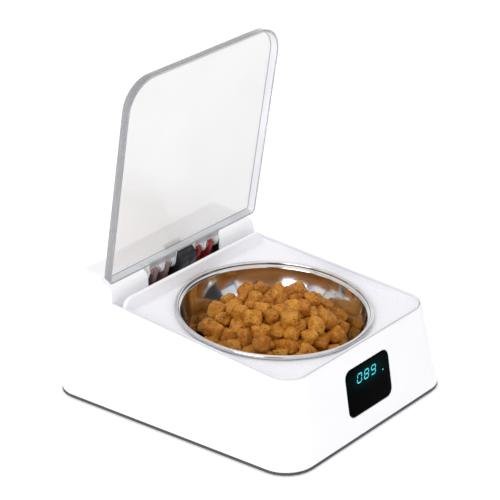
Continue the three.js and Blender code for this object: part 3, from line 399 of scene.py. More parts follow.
def lathe(name, profile, matrix=None):
    """A closed profile of (radius, height) points turned about +Z."""
    count = len(profile)
    points, faces = [], []
    for k in range(LATHE_STEPS):
        angle = 2 * math.pi * k / LATHE_STEPS
        points += [(r * math.cos(angle), r * math.sin(angle), z) for r, z in profile]
    for k in range(LATHE_STEPS):
        here, there = k * count, (k + 1) % LATHE_STEPS * count
        for i in range(count):
            j = (i + 1) % count
            faces.append((here + i, there + i, there + j, here + j))
    made = mesh(name, points, faces, matrix)
    edit(made, lambda bm: bmesh.ops.remove_doubles(bm, verts=bm.verts, dist=1e-7))
    return made


AXIS_ORDERS = {
    "x": lambda u, v, w: (w, u, v),
    "y": lambda u, v, w: (u, w, v),
    "z": lambda u, v, w: (u, v, w),
}


def slab(name, outline, low, high, along):
    """An outline of two coordinates carried from low to high along X, Y or Z."""
    order = AXIS_ORDERS[along]
    return loft(name, [[order(u, v, w) for u, v in outline] for w in (low, high)])


def block(name, x0, x1, y0, y1, z0, z1):
    return slab(name, [(x0, y0), (x1, y0), (x1, y1), (x0, y1)], z0, z1, "z")


ROD_SIDES = 48


def rod(name, center, low, high, radius, along):
    """A round bar along X, Y or Z; center is the other two coordinates."""
    return slab(name, arc(*center, radius, 0, 360 - 360 / ROD_SIDES, ROD_SIDES - 1), low, high, along)


def arc(u, v, radius, start, end, steps):
    """Points on a circle about (u, v), from one angle to another in degrees."""
    angles = [math.radians(start + (end - start) * i / steps) for i in range(steps + 1)]
    return [(u + radius * math.cos(a), v + radius * math.sin(a)) for a in angles]


def combine(target, tools, how):
    """Joins, cuts or intersects target with each tool, and removes the tools."""
    for tool in tools:
        step = target.modifiers.new("combine", "BOOLEAN")
        step.operation = how
        step.solver = "MANIFOLD"
        step.object = tool
        bake_modifiers(target)
        bpy.data.objects.remove(tool)
    return target


def bake_modifiers(target):
    """Replaces the mesh by what its modifiers make of it."""
    graph = bpy.context.evaluated_depsgraph_get()
    graph.update()
    data = bpy.data.meshes.new_from_object(target.evaluated_get(graph))
    target.modifiers.clear()
    target.data = data


def finish_piece(target, body, material, nodes=(), smooth=SHARP_ANGLE):
    """Merges doubled points, shades the mesh, and puts the piece on its body."""
    edit(target, lambda bm: bmesh.ops.remove_doubles(bm, verts=bm.verts, dist=2e-6))
    target.data.shade_smooth()
    target.data.set_sharp_from_angle(angle=math.radians(smooth))
    target.data.materials.clear()
    target.data.materials.append(material)
    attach(target, body)
    if nodes:
        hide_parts(*nodes)


# ---------------------------------------------------------------- the wedge's shape
CORNER_STEPS = 20
REAR_CORNER = 3
QUARTER = math.pi / 2


def side_at(z):
    """Half the housing's width at height z."""
    return BASE_HIGH.x - z * tangent(SIDE_DRAFT) + BASE_LOW.z * tangent(SIDE_DRAFT)


def front_at(z):
    return BASE_LOW.y + (z - BASE_LOW.z) * tangent(FRONT_DRAFT)


def back_at(z):
    return BASE_HIGH.y - (z - BASE_LOW.z) * tangent(BACK_DRAFT)


def rounded_ring(half_width, front, back, front_radius, back_radius, steps=CORNER_STEPS):
    """A rounded rectangle's points (x, y), anticlockwise from above."""
    return [
        *arc(half_width - back_radius, back - back_radius, back_radius, 0, 90, steps),
        *arc(-half_width + back_radius, back - back_radius, back_radius, 90, 180, steps),
        *arc(-half_width + front_radius, front + front_radius, front_radius, 180, 270, steps),
        *arc(half_width - front_radius, front + front_radius, front_radius, 270, 360, steps),
    ]


def wall_ring(z, inset, back=None):
    """The housing's outline at height z, moved in by inset; back replaces its rear edge."""
    radius = CORNER_RADIUS - CORNER_SHRINK * z - inset
    rear, rear_radius = (back_at(z) - inset, radius) if back is None else (back, min(REAR_CORNER, radius))
    return rounded_ring(side_at(z) - inset, front_at(z) + inset, rear, radius, rear_radius)


def rim_at(y, below=0.0):
    """Height of the sloping plane of the rim, or of the plane that far below it."""
    rim_front = front_at(RIM_FRONT_HEIGHT)
    return RIM_FRONT_HEIGHT + (y - rim_front) * tangent(SLOPE) - below / math.cos(math.radians(SLOPE))


def level_ring(z, inset, back=None):
    return [(x, y, z) for x, y in wall_ring(z, inset, back)]


SLOPE_PASSES = 6


def sloped_ring(inset, below, back=None):
    """The same outline where it meets the sloping plane that lies that far below the rim."""
    points = []
    count = len(wall_ring(0, inset, back))
    for i in range(count):
        z = RIM_FRONT_HEIGHT
        for _ in range(SLOPE_PASSES):
            x, y = wall_ring(z, inset, back)[i]
            z = rim_at(y, below)
        points.append((x, y, z))
    return points


def rounding(radius, steps=5):
    """(inset, below) pairs round a convex top edge, from the wall to the top face."""
    turns = [QUARTER * i / steps for i in range(steps + 1)]
    return [(radius * (1 - math.cos(t)), radius * (1 - math.sin(t))) for t in turns]


# ---------------------------------------------------------------- housing
OUTLINE_STEPS = 16
STEP_FILLET, FILLET_STEPS = 2.5, 6
FOOT_ROUND, RIM_ROUND, RIM_INNER_ROUND = 0.25, 0.7, 0.55
OPENING_FRONT, OPENING_TOP = 60, 110
CASE_CLEARANCE, SWITCH_CLEARANCE = 1, 1.6
BACK_WALL_FRONT = 105
DISPLAY_LEDGE, DISPLAY_LEDGE_CORNER, DISPLAY_CUT = 3, 2, 5


def top_outline(inset):
    """Side view of everything under the hinge bar and the rear hump, less a wall thickness."""
    radius, top, edge = BAR_RADIUS - inset, HUMP_TOP - inset, HUMP_EDGE - inset
    edge_height = HUMP_TOP - HUMP_EDGE
    edge_y = back_at(edge_height) - HUMP_EDGE / math.cos(math.radians(BACK_DRAFT))
    step_low = (HUMP_STEP_FRONT + inset / 2, HINGE_Z + radius)
    step_high = (HUMP_STEP_BACK + inset / 2, top)
    return [
        *arc(HINGE_Y, HINGE_Z, radius, 180, 90, OUTLINE_STEPS),
        *soft_step(step_low, step_high, 0 if inset else STEP_FILLET),
        *arc(edge_y, edge_height, edge, 90, BACK_DRAFT, OUTLINE_STEPS),
        (FAR, edge_height + edge * math.sin(math.radians(BACK_DRAFT))),
        (FAR, -FAR),
        (-FAR, -FAR),
    ]


def soft_step(low, high, reach):
    """A rising step between two level lines, with a fillet at each end."""
    if not reach:
        return [low, high]
    low, high = Vector(low), Vector(high)
    up = (high - low).normalized()
    level = Vector((1, 0))
    points = []
    for corner, before, after in ((low, -level, up), (high, -up, level)):
        start, end = corner + before * reach, corner + after * reach
        for i in range(FILLET_STEPS + 1):
            t = i / FILLET_STEPS
            points.append(tuple(start * (1 - t) ** 2 + corner * 2 * t * (1 - t) + end * t * t))
    return points


def end_outline(inset):
    """Front view of the hump with its rounded ends, less a wall thickness."""
    height = HUMP_TOP - HUMP_END
    middle = side_at(height) - HUMP_END / math.cos(math.radians(SIDE_DRAFT))
    radius = HUMP_END - inset
    shoulder = height + radius * math.sin(math.radians(SIDE_DRAFT))
    return [
        (FAR, shoulder),
        *arc(middle, height, radius, SIDE_DRAFT, 90, OUTLINE_STEPS),
        *arc(-middle, height, radius, 90, 180 - SIDE_DRAFT, OUTLINE_STEPS),
        (-FAR, shoulder),
        (-FAR, -FAR),
        (FAR, -FAR),
    ]


def wedge(name, z0, z1, inset):
    """The housing's whole outline from one height to another, moved in by inset."""
    return loft(name, [level_ring(z0, inset), level_ring(z1, inset)])


BAR_FRONT = HINGE_Y - BAR_RADIUS
DISPLAY_PLACE = Matrix.Translation((0, front_at(DISPLAY_MIDDLE), DISPLAY_MIDDLE)) @ Matrix.Rotation(
    math.radians(90 - FRONT_DRAFT), 4, "X")


PLATE_CORNER_STEPS = 12


def display_plate(name, width, height, radius, layers):
    """A rounded plate on the front wall through (depth, grow) layers."""
    rings = []
    for depth, grow in layers:
        half_height, corner = height / 2 + grow, radius + grow
        ring = rounded_ring(width / 2 + grow, -half_height, half_height, corner, corner, PLATE_CORNER_STEPS)
        rings.append([(x, y, depth) for x, y in ring])
    return loft(name, rings, DISPLAY_PLACE)


def upper_housing():
    bottom = SHELL_LOW.z
    front = loft("upper_housing_fine", [
        level_ring(bottom, FOOT_ROUND),
        level_ring(bottom + FOOT_ROUND, 0),
        *[sloped_ring(inset, below) for inset, below in rounding(RIM_ROUND)],
    ])
    hump = wedge("hump", bottom + 1, FAR, 0)
    combine(hump, [
        slab("side_view", top_outline(0), -FAR, FAR, "x"),
        slab("end_view", end_outline(0), -FAR, FAR, "y"),
        block("rear_half", -FAR, FAR, BAR_FRONT - 0.001, FAR, -FAR, FAR),
    ], "INTERSECT")
    combine(front, [hump], "UNION")
    cavity = wedge("cavity", -1, FAR, WALL)
    opening = [
        (-FAR, FAR),
        (BAR_FRONT, FAR),
        (BAR_FRONT, BAR_WALL_BOTTOM),
        (BAR_FRONT + WALL, BAR_WALL_BOTTOM),
        *top_outline(WALL),
    ]
    combine(cavity, [
        slab("cavity_side_view", opening, -FAR, FAR, "x"),
        slab("cavity_end_view", end_outline(WALL), -FAR, FAR, "y"),
    ], "INTERSECT")
    rim_cavity = loft("rim_cavity", [
        level_ring(60, RIM_WALL),
        *[sloped_ring(RIM_WALL - inset, below) for inset, below in rounding(RIM_INNER_ROUND)],
        sloped_ring(RIM_WALL - RIM_INNER_ROUND - 0.01, -30),
    ])
    combine(rim_cavity, [block("rim_reach", -FAR, FAR, -FAR, BAR_FRONT, 62, FAR)], "INTERSECT")
    window = block("window", -WINDOW_HALF, WINDOW_HALF,
                   OPENING_FRONT, WINDOW_BACK, WINDOW_BOTTOM, OPENING_TOP)
    case_left, cover_right = span("gearbox_case")[0].x, span("gearbox_cover")[1].x
    notch = block("gearbox_notch", case_left - CASE_CLEARANCE, cover_right + CASE_CLEARANCE,
                  OPENING_FRONT, HUMP_STEP_BACK - 1, WINDOW_BOTTOM, OPENING_TOP)
    recess = display_plate(
        "display_recess", DISPLAY_WIDTH + 2 * GAP, DISPLAY_HEIGHT + 2 * GAP, DISPLAY_CORNER,
        [(-1.5, 0), (-0.45, 0), (-0.2, 0.08), (0.05, 0.35), (DISPLAY_CUT, 0.4)])
    through = display_plate(
        "display_through", DISPLAY_WIDTH - 2 * DISPLAY_LEDGE, DISPLAY_HEIGHT - 2 * DISPLAY_LEDGE,
        DISPLAY_CORNER - DISPLAY_LEDGE_CORNER, [(-DISPLAY_CUT, 0), (DISPLAY_CUT, 0)])
    usb_low, usb_high = span("usb_socket")
    socket_hole = block("usb_hole", usb_low.x - GAP, usb_high.x + GAP, BACK_WALL_FRONT, FAR,
                        usb_low.z - GAP, usb_high.z + GAP)
    switch_half_width = ROCKER_HALF_WIDTH + SWITCH_CLEARANCE
    switch_half_height = ROCKER_HALF_HEIGHT + SWITCH_CLEARANCE
    switch_hole = block("switch_hole", ROCKER_X - switch_half_width, ROCKER_X + switch_half_width,
                        BACK_WALL_FRONT, FAR, ROCKER_Z - switch_half_height, ROCKER_Z + switch_half_height)
    button_hole = rod("button_hole", (BUTTON_X, BUTTON_Z), BACK_WALL_FRONT, FAR, BUTTON_RADIUS + GAP, "y")
    combine(front, [
        cavity, rim_cavity, window, notch, recess, through, socket_hole, switch_hole, button_hole,
    ], "DIFFERENCE")
    finish_piece(front, "feeder", WHITE, ["upper_housing"])


# ---------------------------------------------------------------- bowl's frame
BOWL_PLACE = Matrix.Translation((0, BOWL_Y, rim_at(BOWL_Y, BOWL_RIM_DEPTH))) @ Matrix.Rotation(
    math.radians(SLOPE), 4, "X")


# ---------------------------------------------------------------- tray
TRAY_TOP_DEPTH, TRAY_EDGE_ROUND, TRAY_LIP = 0.9, 0.4, 0.3
TRAY_FILLET, TRAY_FILLET_STEPS = 1.6, 6
HOLE_LIP, HOLE_LIP_END, HOLE_REACH = 0.7, 0.75, 20
RIDGE_STEPS, RIDGE_CORNER_STEPS, RIDGE_FOOT, RIDGE_END_DROP = 12, 14, 3, 0.8


def bowl_tray():
    under = TRAY_DEPTH + TRAY_FLOOR
    top = TRAY_TOP_DEPTH
    outer = loft("bowl_tray_fine", [
        sloped_ring(TRAY_INSET, under, RIDGE_BACK),
        *[sloped_ring(TRAY_INSET + inset, top + below, RIDGE_BACK)
          for inset, below in rounding(TRAY_EDGE_ROUND, 3)],
    ])
    inset = TRAY_INSET + TRAY_WALL
    turns = [QUARTER * i / TRAY_FILLET_STEPS for i in range(TRAY_FILLET_STEPS + 1)]
    hollow_rings = []
    for t in turns:
        pulled_in = TRAY_FILLET * (1 - math.sin(t))
        depth = TRAY_DEPTH - TRAY_FILLET * (1 - math.cos(t))
        hollow_rings.append(sloped_ring(inset + pulled_in, depth, RIDGE_FRONT - pulled_in))
    hollow = loft("tray_hollow", [
        *hollow_rings,
        sloped_ring(inset, top + TRAY_LIP, RIDGE_FRONT),
        sloped_ring(inset - TRAY_LIP, top, RIDGE_FRONT),
        sloped_ring(inset - TRAY_LIP, -40, RIDGE_FRONT),
    ])
    trough = block("trough", -FAR, FAR, RIDGE_BACK - 2, TROUGH_BACK, TROUGH_TOP - TRAY_FLOOR, TROUGH_TOP)
    end_walls = wedge("trough_walls", TROUGH_TOP - TRAY_FLOOR, 100, TRAY_INSET)
    combine(end_walls, [wedge("trough_inside", 0, FAR, inset)], "DIFFERENCE")
    combine(end_walls, [slab("trough_reach", [
        (RIDGE_FRONT, TROUGH_TOP - TRAY_FLOOR),
        (TROUGH_BACK, TROUGH_TOP - TRAY_FLOOR),
        (TROUGH_BACK, rim_at(TROUGH_BACK, top)),
        (RIDGE_FRONT, rim_at(RIDGE_FRONT, top)),
    ], -FAR, FAR, "x")], "INTERSECT")
    combine(trough, [wedge("trough_reach_wedge", 0, FAR, TRAY_INSET)], "INTERSECT")
    end = side_at(RIDGE_TOP) - TRAY_INSET + 0.4
    round_top = (RIDGE_BACK - RIDGE_FRONT) / 2
    corner_x, corner_z, foot = end - RIDGE_CORNER, RIDGE_TOP - RIDGE_CORNER, TROUGH_TOP - RIDGE_FOOT
    ridge_rings = []
    for i in range(RIDGE_STEPS + 1):
        turn = math.pi * (i / RIDGE_STEPS - 0.5)
        y = (RIDGE_FRONT + RIDGE_BACK) / 2 + round_top * math.sin(turn)
        drop = round_top * (1 - math.cos(turn)) * RIDGE_END_DROP
        outline = [
            (-end + drop, foot),
            (end - drop, foot),
            *arc(corner_x, corner_z, RIDGE_CORNER - drop, 0, 90, RIDGE_CORNER_STEPS),
            *arc(-corner_x, corner_z, RIDGE_CORNER - drop, 90, 180, RIDGE_CORNER_STEPS),
        ]
        ridge_rings.append([(x, y, z) for x, z in outline])
    ridge = loft("ridge", ridge_rings)
    combine(outer, [hollow], "DIFFERENCE")
    combine(outer, [trough, end_walls, ridge], "UNION")
    tray_height = -TRAY_DEPTH + BOWL_RIM_DEPTH
    lip = [(BOWL_HOLE + HOLE_LIP * (1 - math.cos(t)), tray_height - HOLE_LIP * (1 - math.sin(t)))
           for t in turns]
    hole = lathe("bowl_hole", [
        (0, -HOLE_REACH),
        (BOWL_HOLE, -HOLE_REACH),
        *lip,
        (BOWL_HOLE + HOLE_LIP_END, HOLE_REACH),
        (0, HOLE_REACH),
    ], BOWL_PLACE)
    combine(outer, [hole], "DIFFERENCE")
    finish_piece(outer, "feeder", TRAY_WHITE, ["bowl_tray"])


# ---------------------------------------------------------------- bowl
WALL_STEPS = 40
WALL_END_HEIGHT = 0.6
FLOOR_EDGE = ((2, 0.2), (4.5, 0))
BOWL_AXIS_GAP = 0.01


def bowl_wall(grow):
    """(radius, height) points down the elliptical wall, from the neck to the floor's rounded edge."""
    half_height = BOWL_HALF_HEIGHT + grow
    neck = math.asin(BOWL_CENTRE_HEIGHT / half_height)
    foot = math.asin((BOWL_CENTRE_HEIGHT + BOWL_DEPTH + grow - WALL_END_HEIGHT) / half_height)
    points = []
    for i in range(1, WALL_STEPS + 1):
        turn = neck + (foot - neck) * i / WALL_STEPS
        radius = (BOWL_INNER_RADIUS + grow) * math.cos(turn) / math.cos(neck)
        points.append((radius, BOWL_CENTRE_HEIGHT - half_height * math.sin(turn)))
    edge = points[-1][0]
    return points + [(edge - inward, -BOWL_DEPTH - grow + raised) for inward, raised in FLOOR_EDGE]


def bowl():
    profile = [
        (BOWL_AXIS_GAP, -BOWL_DEPTH - BOWL_METAL),
        *bowl_wall(BOWL_METAL)[::-1],
        *arc(BOWL_RIM_RADIUS, 0, BOWL_ROLL, -115, 205, 24),
        *bowl_wall(0),
        (BOWL_AXIS_GAP, -BOWL_DEPTH),
    ]
    made = lathe("bowl_fine", profile, BOWL_PLACE)
    finish_piece(made, "bowl", STEEL, ["bowl"], smooth=60)


# ---------------------------------------------------------------- lid
LID_PLACE = Matrix.Translation((0, HINGE_Y, HINGE_Z)) @ Matrix.Rotation(
    math.radians(SLOPE - LID_OPEN_ANGLE), 4, "X")
LID_FAR = LID_START + LID_LENGTH
LID_CORNER_STEPS = 16
LID_FOOT_ROUND, LID_TOP_ROUND, LID_INNER_ROUND = 0.3, 1.2, 0.8
ARM_RISE, WEB_THICKNESS, WEB_BACK = 4, 1.6, -6.6
PANE_FACES, SKIRT_FACES, EDGE_FACES, ARM_FACES, SIDE_FACES = range(5)
LEVEL_FACE, UPRIGHT_FACE = 0.97, 0.4


def lid_ring(z, inset):
    """The lid's outline at height z in its own frame, moved in by inset."""
    grow = LID_FLARE * (LID_TOP - z) / LID_SKIRT - inset
    ring = rounded_ring(LID_HALF_WIDTH + grow, -LID_FAR - grow, -LID_START + grow,
                        LID_FAR_CORNER + grow, LID_NEAR_CORNER + grow, LID_CORNER_STEPS)
    return [(x, y, z) for x, y in ring]


def lid():
    """The lid is coloured in its own frame, then set open."""
    edge = LID_TOP - LID_SKIRT
    inner = LID_TOP - LID_WALL
    made = loft("lid_fine", [
        lid_ring(edge, LID_FOOT_ROUND),
        lid_ring(edge + LID_FOOT_ROUND, 0),
        *[lid_ring(LID_TOP - below, inset) for inset, below in rounding(LID_TOP_ROUND, 6)],
    ])
    hollow = loft("lid_hollow", [
        lid_ring(edge - 1, LID_WALL),
        *[lid_ring(inner - below, LID_WALL + inset) for inset, below in rounding(LID_INNER_ROUND, 4)],
    ])
    combine(made, [hollow], "DIFFERENCE")
    wall_y, arm_foot = -LID_START - LID_WALL / 2, edge + LID_FOOT_ROUND
    arm_outline = [*arc(0, 0, HUB_RADIUS, -90, 120, 20), (wall_y, arm_foot + ARM_RISE), (wall_y, arm_foot)]
    half = ARM_THICKNESS / 2
    arms = [slab("arm", arm_outline, x - half, x + half, "x") for group in ARM_GROUPS for x in group]
    webs = [block("web", group[0], group[-1], wall_y, WEB_BACK, arm_foot, arm_foot + WEB_THICKNESS)
            for group in ARM_GROUPS]
    combine(made, [*arms, *webs], "UNION")
    bore = rod("bore", (0, 0), -FAR, FAR, SHAFT_RADIUS + GAP, "x")
    combine(made, [bore], "DIFFERENCE")
    finish_piece(made, "lid", PANE, ["lid"], smooth=30)
    # Skirt, rounded edge and side faces take the darker copies of the acrylic: painted shade where light
    # passes the lid's sides, skirt and edges.
    for other in (SKIRT, EDGE, ARM, SIDE):
        made.data.materials.append(other)
    for face in made.data.polygons:
        x, y, z = face.center / MM
        level = abs(face.normal.z)
        if y > -LID_START + LID_WALL + 1.7:
            face.material_index = ARM_FACES
        elif level > LEVEL_FACE:
            face.material_index = PANE_FACES if z > edge + 1 else EDGE_FACES
        elif level < UPRIGHT_FACE:
            near_end = y > -LID_START - 4 and abs(x) < LID_HALF_WIDTH - 2
            face.material_index = SKIRT_FACES if near_end else SIDE_FACES
        else:
            face.material_index = EDGE_FACES
    place = Matrix.Scale(MM, 4) @ LID_PLACE @ Matrix.Scale(1 / MM, 4)
    made.data.transform(place)
    made.visible_shadow = False
    made.visible_diffuse = False


# ---------------------------------------------------------------- display
DIGIT_WIDTH, DIGIT_HEIGHT, DIGIT_PITCH, DIGIT_SLANT = 5.9, 7.5, 8.7, 0.2
STROKE, STROKE_GAP, LIT_DEPTH, LIT_RISE = 0.86, 0.22, 0.1, 0.02
DIGITS_LEFT, DIGITS_BOTTOM, DOT, DOT_RADIUS = -14.2, 5.2, (18.2, 4.6), 0.62
WINDOW_FACE, WINDOW_ROUND = 0.3, 0.45
GLOW_REACH = (34, 15, 14)
LIT = {"0": "abcdef", "8": "abcdefg", "9": "abcfgd"}


def segment_outline(start, end):
    """A bar with pointed ends between two corners of a digit."""
    start, end = Vector(start), Vector(end)
    along = (end - start).normalized()
    across = Vector((-along.y, along.x)) * STROKE / 2
    start, end = start + along * STROKE_GAP, end - along * STROKE_GAP
    tip = along * STROKE / 2
    return [start, start + tip - across, end - tip - across, end, end - tip + across, start + tip + across]


def digit_segments(left, bottom):
    """The two ends of each of a digit's seven segments."""
    right, top = left + DIGIT_WIDTH - STROKE, bottom + DIGIT_HEIGHT - STROKE
    middle = (bottom + top) / 2
    return {
        "a": ((left, top), (right, top)), "b": ((right, middle), (right, top)),
        "c": ((right, bottom), (right, middle)), "d": ((left, bottom), (right, bottom)),
        "e": ((left, bottom), (left, middle)), "f": ((left, middle), (left, top)),
        "g": ((left, middle), (right, middle)),
    }


def display():
    window = display_plate("display_window_fine", DISPLAY_WIDTH, DISPLAY_HEIGHT, DISPLAY_CORNER, [
        (-1.2, -0.2),
        (-1.0, 0),
        *[(WINDOW_FACE - below, -inset) for inset, below in rounding(WINDOW_ROUND, 4)],
    ])
    middle = DISPLAY_PLACE @ Vector((0, DIGITS_BOTTOM + DIGIT_HEIGHT / 2, 0))
    finish_piece(window, "feeder", lit_window(middle, GLOW_REACH), ["display_window"])
    segments = []
    for place, digit in enumerate("089"):
        lines = digit_segments(DIGITS_LEFT + STROKE / 2 + place * DIGIT_PITCH, DIGITS_BOTTOM + STROKE / 2)
        segments += [segment_outline(*lines[name]) for name in LIT[digit]]
    segments.append(arc(*DOT, DOT_RADIUS, 0, 330, 11))
    points, faces = [], []
    low, high = WINDOW_FACE - LIT_DEPTH, WINDOW_FACE + LIT_RISE
    for outline in segments:
        first, count = len(points), len(outline)
        slanted = [(u + (v - DIGITS_BOTTOM) * DIGIT_SLANT, v) for u, v in outline]
        points += [(u, v, low) for u, v in slanted] + [(u, v, high) for u, v in slanted]
        faces += [(first + i, first + (i + 1) % count, first + count + (i + 1) % count, first + count + i)
                  for i in range(count)]
        faces.append(tuple(range(first + count, first + 2 * count)))
        faces.append(tuple(range(first, first + count))[::-1])
    lit = mesh("display_digits", points, faces, DISPLAY_PLACE)
    finish_piece(lit, "feeder", lit_segment())


# ---------------------------------------------------------------- kibble
KIBBLE_COUNT, KIBBLE_SEED, KIBBLE_GRID = 275, 11, 9
KIBBLE_SIZE = (5.0, 6.7)
POUR_X, POUR_Y, POUR_START, POUR_STEP = (-38, 38), (-45, 30), 5, 0.42
SETTLE_STEPS, SQUEEZES = 260, 4
FALL, MOMENTUM, PUSH_APART, CALMING = 0.22, 0.9, 0.32, 0.12
HEAP_MIDDLE = np.array([10.0, 0.0])
HEAP_SLOPE, HEAP_ROUND = 0.42, 14
RIM_REACH = 6
FAR_APART = 1e3
LID_CLEARANCE = 0.4
KIBBLE_SHAPE = (3.6, 7.5)
KIBBLE_LENGTH, KIBBLE_WIDTH, KIBBLE_THICKNESS = (0.9, 1.06), (0.86, 1.0), (0.68, 0.95)
KIBBLE_TONE, LUMP_PAINTED_SHADE = (-0.02, 0.24), 0.12
LUMPS = ((1.15, 0.17), (3.3, 0.07))
NOISE_REACH = 90


def settled_kibble(draw):
    """Centres and radii of pieces that have rolled to rest in the bowl, in the bowl's own frame."""
    radii = np.array([draw.uniform(*KIBBLE_SIZE) for _ in range(KIBBLE_COUNT)])
    places = np.array([[draw.uniform(*POUR_X), draw.uniform(*POUR_Y), POUR_START + POUR_STEP * i]
                       for i in range(KIBBLE_COUNT)])
    before = places.copy()
    wall, half_height = BOWL_INNER_RADIUS + 1 - radii, BOWL_HALF_HEIGHT - radii
    floor = radii - BOWL_DEPTH
    for _ in range(SETTLE_STEPS):
        toward = HEAP_MIDDLE - places[:, :2]
        toward *= HEAP_SLOPE / np.maximum(np.hypot(*toward.T), HEAP_ROUND)[:, None]
        pull = np.column_stack([toward, -np.ones(KIBBLE_COUNT)]) * FALL
        before, places = places, places + (places - before) * MOMENTUM + pull
        for _ in range(SQUEEZES):
            apart = places[:, None] - places[None]
            distance = np.sqrt((apart ** 2).sum(2)) + np.eye(KIBBLE_COUNT) * FAR_APART
            overlap = np.maximum(0, radii[:, None] + radii[None] - distance)
            places = places + (apart / distance[..., None] * overlap[..., None]).sum(1) * PUSH_APART
            reach = np.hypot(places[:, 0], places[:, 1])
            deep = np.maximum(BOWL_CENTRE_HEIGHT - places[:, 2], 0)
            share = np.hypot(reach / wall, deep / half_height)
            low = places[:, 2] < RIM_REACH
            inward = np.where((share > 1) & low, 1 / share, 1)
            places[:, :2] *= inward[:, None]
            places[:, 2] = np.where(low, BOWL_CENTRE_HEIGHT - deep * inward, places[:, 2])
            places[:, 2] = np.maximum(places[:, 2], floor)
        before = before + (places - before) * CALMING
    return places, radii


def cube_grid(steps):
    """Points and faces of a cube whose sides are split into steps by steps squares."""
    found, points, faces = {}, [], []

    def point(key):
        if key not in found:
            found[key] = len(points)
            points.append(Vector([math.tan((k / steps - 0.5) * math.pi / 2) for k in key]))
        return found[key]

    for axis in range(3):
        for side in (0, steps):
            for i in range(steps):
                for j in range(steps):
                    corners = [(i, j), (i + 1, j), (i + 1, j + 1), (i, j + 1)]
                    ring = []
                    for u, v in corners:
                        key = [u, v]
                        key.insert(axis, side)
                        ring.append(point(tuple(key)))
                    if (side == 0) != (axis == 1):
                        ring.reverse()
                    faces.append(tuple(ring))
    return points, faces


def kibble():
    """Lumpy rounded cubes at the settled places, none higher than the closed lid allows."""
    draw = random.Random(KIBBLE_SEED)
    places, radii = settled_kibble(draw)
    grid, grid_faces = cube_grid(KIBBLE_GRID)
    closed_lid = Matrix.Translation((0, HINGE_Y, HINGE_Z)) @ Matrix.Rotation(math.radians(SLOPE), 4, "X")
    under_lid = BOWL_PLACE.inverted() @ closed_lid @ Vector((0, -LID_LENGTH / 2, LID_TOP - LID_WALL))
    points, faces, tones = [], [], []
    for place, radius in zip(places, radii):
        shape = draw.uniform(*KIBBLE_SHAPE)
        shares = (KIBBLE_LENGTH, KIBBLE_WIDTH, KIBBLE_THICKNESS)
        sizes = Vector([draw.uniform(*share) for share in shares]) * radius
        turns = [Matrix.Rotation(draw.uniform(0, math.tau), 3, axis) for axis in "XZY"]
        turn = turns[0] @ turns[1] @ turns[2]
        own = Vector([draw.uniform(0, NOISE_REACH) for _ in range(3)])
        tone = draw.uniform(*KIBBLE_TONE)
        first = len(points)
        for corner in grid:
            rounded = corner / sum(abs(c) ** shape for c in corner) ** (1 / shape)
            lump = sum(noise.noise(rounded * scale + own) * height for scale, height in LUMPS)
            grown = rounded * (1 + lump)
            points.append(Vector(place) + turn @ Vector([c * size for c, size in zip(grown, sizes)]))
            # Painted shade: the tone follows the lump, lighter on bulges and darker in dents.
            tones.append(tone + LUMP_PAINTED_SHADE * lump)
        sunk = max(0, max(point.z for point in points[first:]) - under_lid.z + LID_CLEARANCE)
        for point in points[first:]:
            point.z -= sunk
        faces += [tuple(first + i for i in face) for face in grid_faces]
    made = mesh("kibble_pile", points, faces, BOWL_PLACE)
    layer = made.data.attributes.new("tone", "FLOAT", "POINT")
    layer.data.foreach_set("value", tones)
    made.data.shade_smooth()
    made.data.materials.append(KIBBLE)
    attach(made, "bowl")


# ---------------------------------------------------------------- stage and lights
BACKDROP_STRENGTH, SKY_STRENGTH, MIRRORED_STRENGTH, FLOOR_GLOW = 1.02, 0.79, 0.95, 0.29
FLOOR_HALF_SIZE, FLOOR_HEIGHT = 6000, -0.2
CARD_GAP, CARD_BLUE, CARD_BRIGHT = (0.05, 0.055, 0.06), (0.2, 0.27, 0.42), (1.1, 1.1, 1.1)
STUDIO_CARDS = (
    (-104, CARD_BRIGHT), (-92, CARD_BLUE), (-82, CARD_BLUE), (-74, CARD_BRIGHT), (-58, CARD_BRIGHT),
    (-55, CARD_GAP), (-41, CARD_GAP), (-38, CARD_BRIGHT), (-10, CARD_BRIGHT), (8, CARD_BLUE),
    (30, CARD_GAP), (70, CARD_GAP), (90, CARD_BRIGHT),
)
CARDS_TOP, CARDS_END = 0.42, 0.6
LIGHT_TARGET = (0, 0, 0.05)


def stage_plane():
    corners = [(x * FLOOR_HALF_SIZE, y * FLOOR_HALF_SIZE, FLOOR_HEIGHT)
               for x, y in ((-1, -1), (1, -1), (1, 1), (-1, 1))]
    floor = mesh("floor", corners, [(0, 1, 2, 3)])
    made = surface("floor_white", (0.9, 0.9, 0.9), (0.92, 0.92, 0.92), (0.7, 0.8), tone=0.002, specular=0.2)
    shader = made.node_tree.nodes["Principled BSDF"]
    shader.inputs["Emission Color"].default_value = (1, 1, 1, 1)
    shader.inputs["Emission Strength"].default_value = FLOOR_GLOW
    floor.data.materials.append(made)


def softbox(name, place, size, power):
    """A rectangular light, in metres and watts, turned to the feeder."""
    data = bpy.data.lights.new(name, "AREA")
    data.shape = "RECTANGLE"
    data.size, data.size_y = size
    data.energy = power
    light = bpy.data.objects.new(name, data)
    light.location = place
    light.rotation_mode = "QUATERNION"
    light.rotation_quaternion = (Vector(LIGHT_TARGET) - Vector(place)).to_track_quat("-Z", "Y")
    bpy.context.scene.collection.objects.link(light)


def azimuth_place(azimuth):
    """Where a direction, in degrees clockwise from the front, is on a ramp over the whole turn."""
    along = math.radians(azimuth)
    turn = math.atan2(math.sin(along), -math.cos(along))
    return (turn / math.pi + 1) / 2


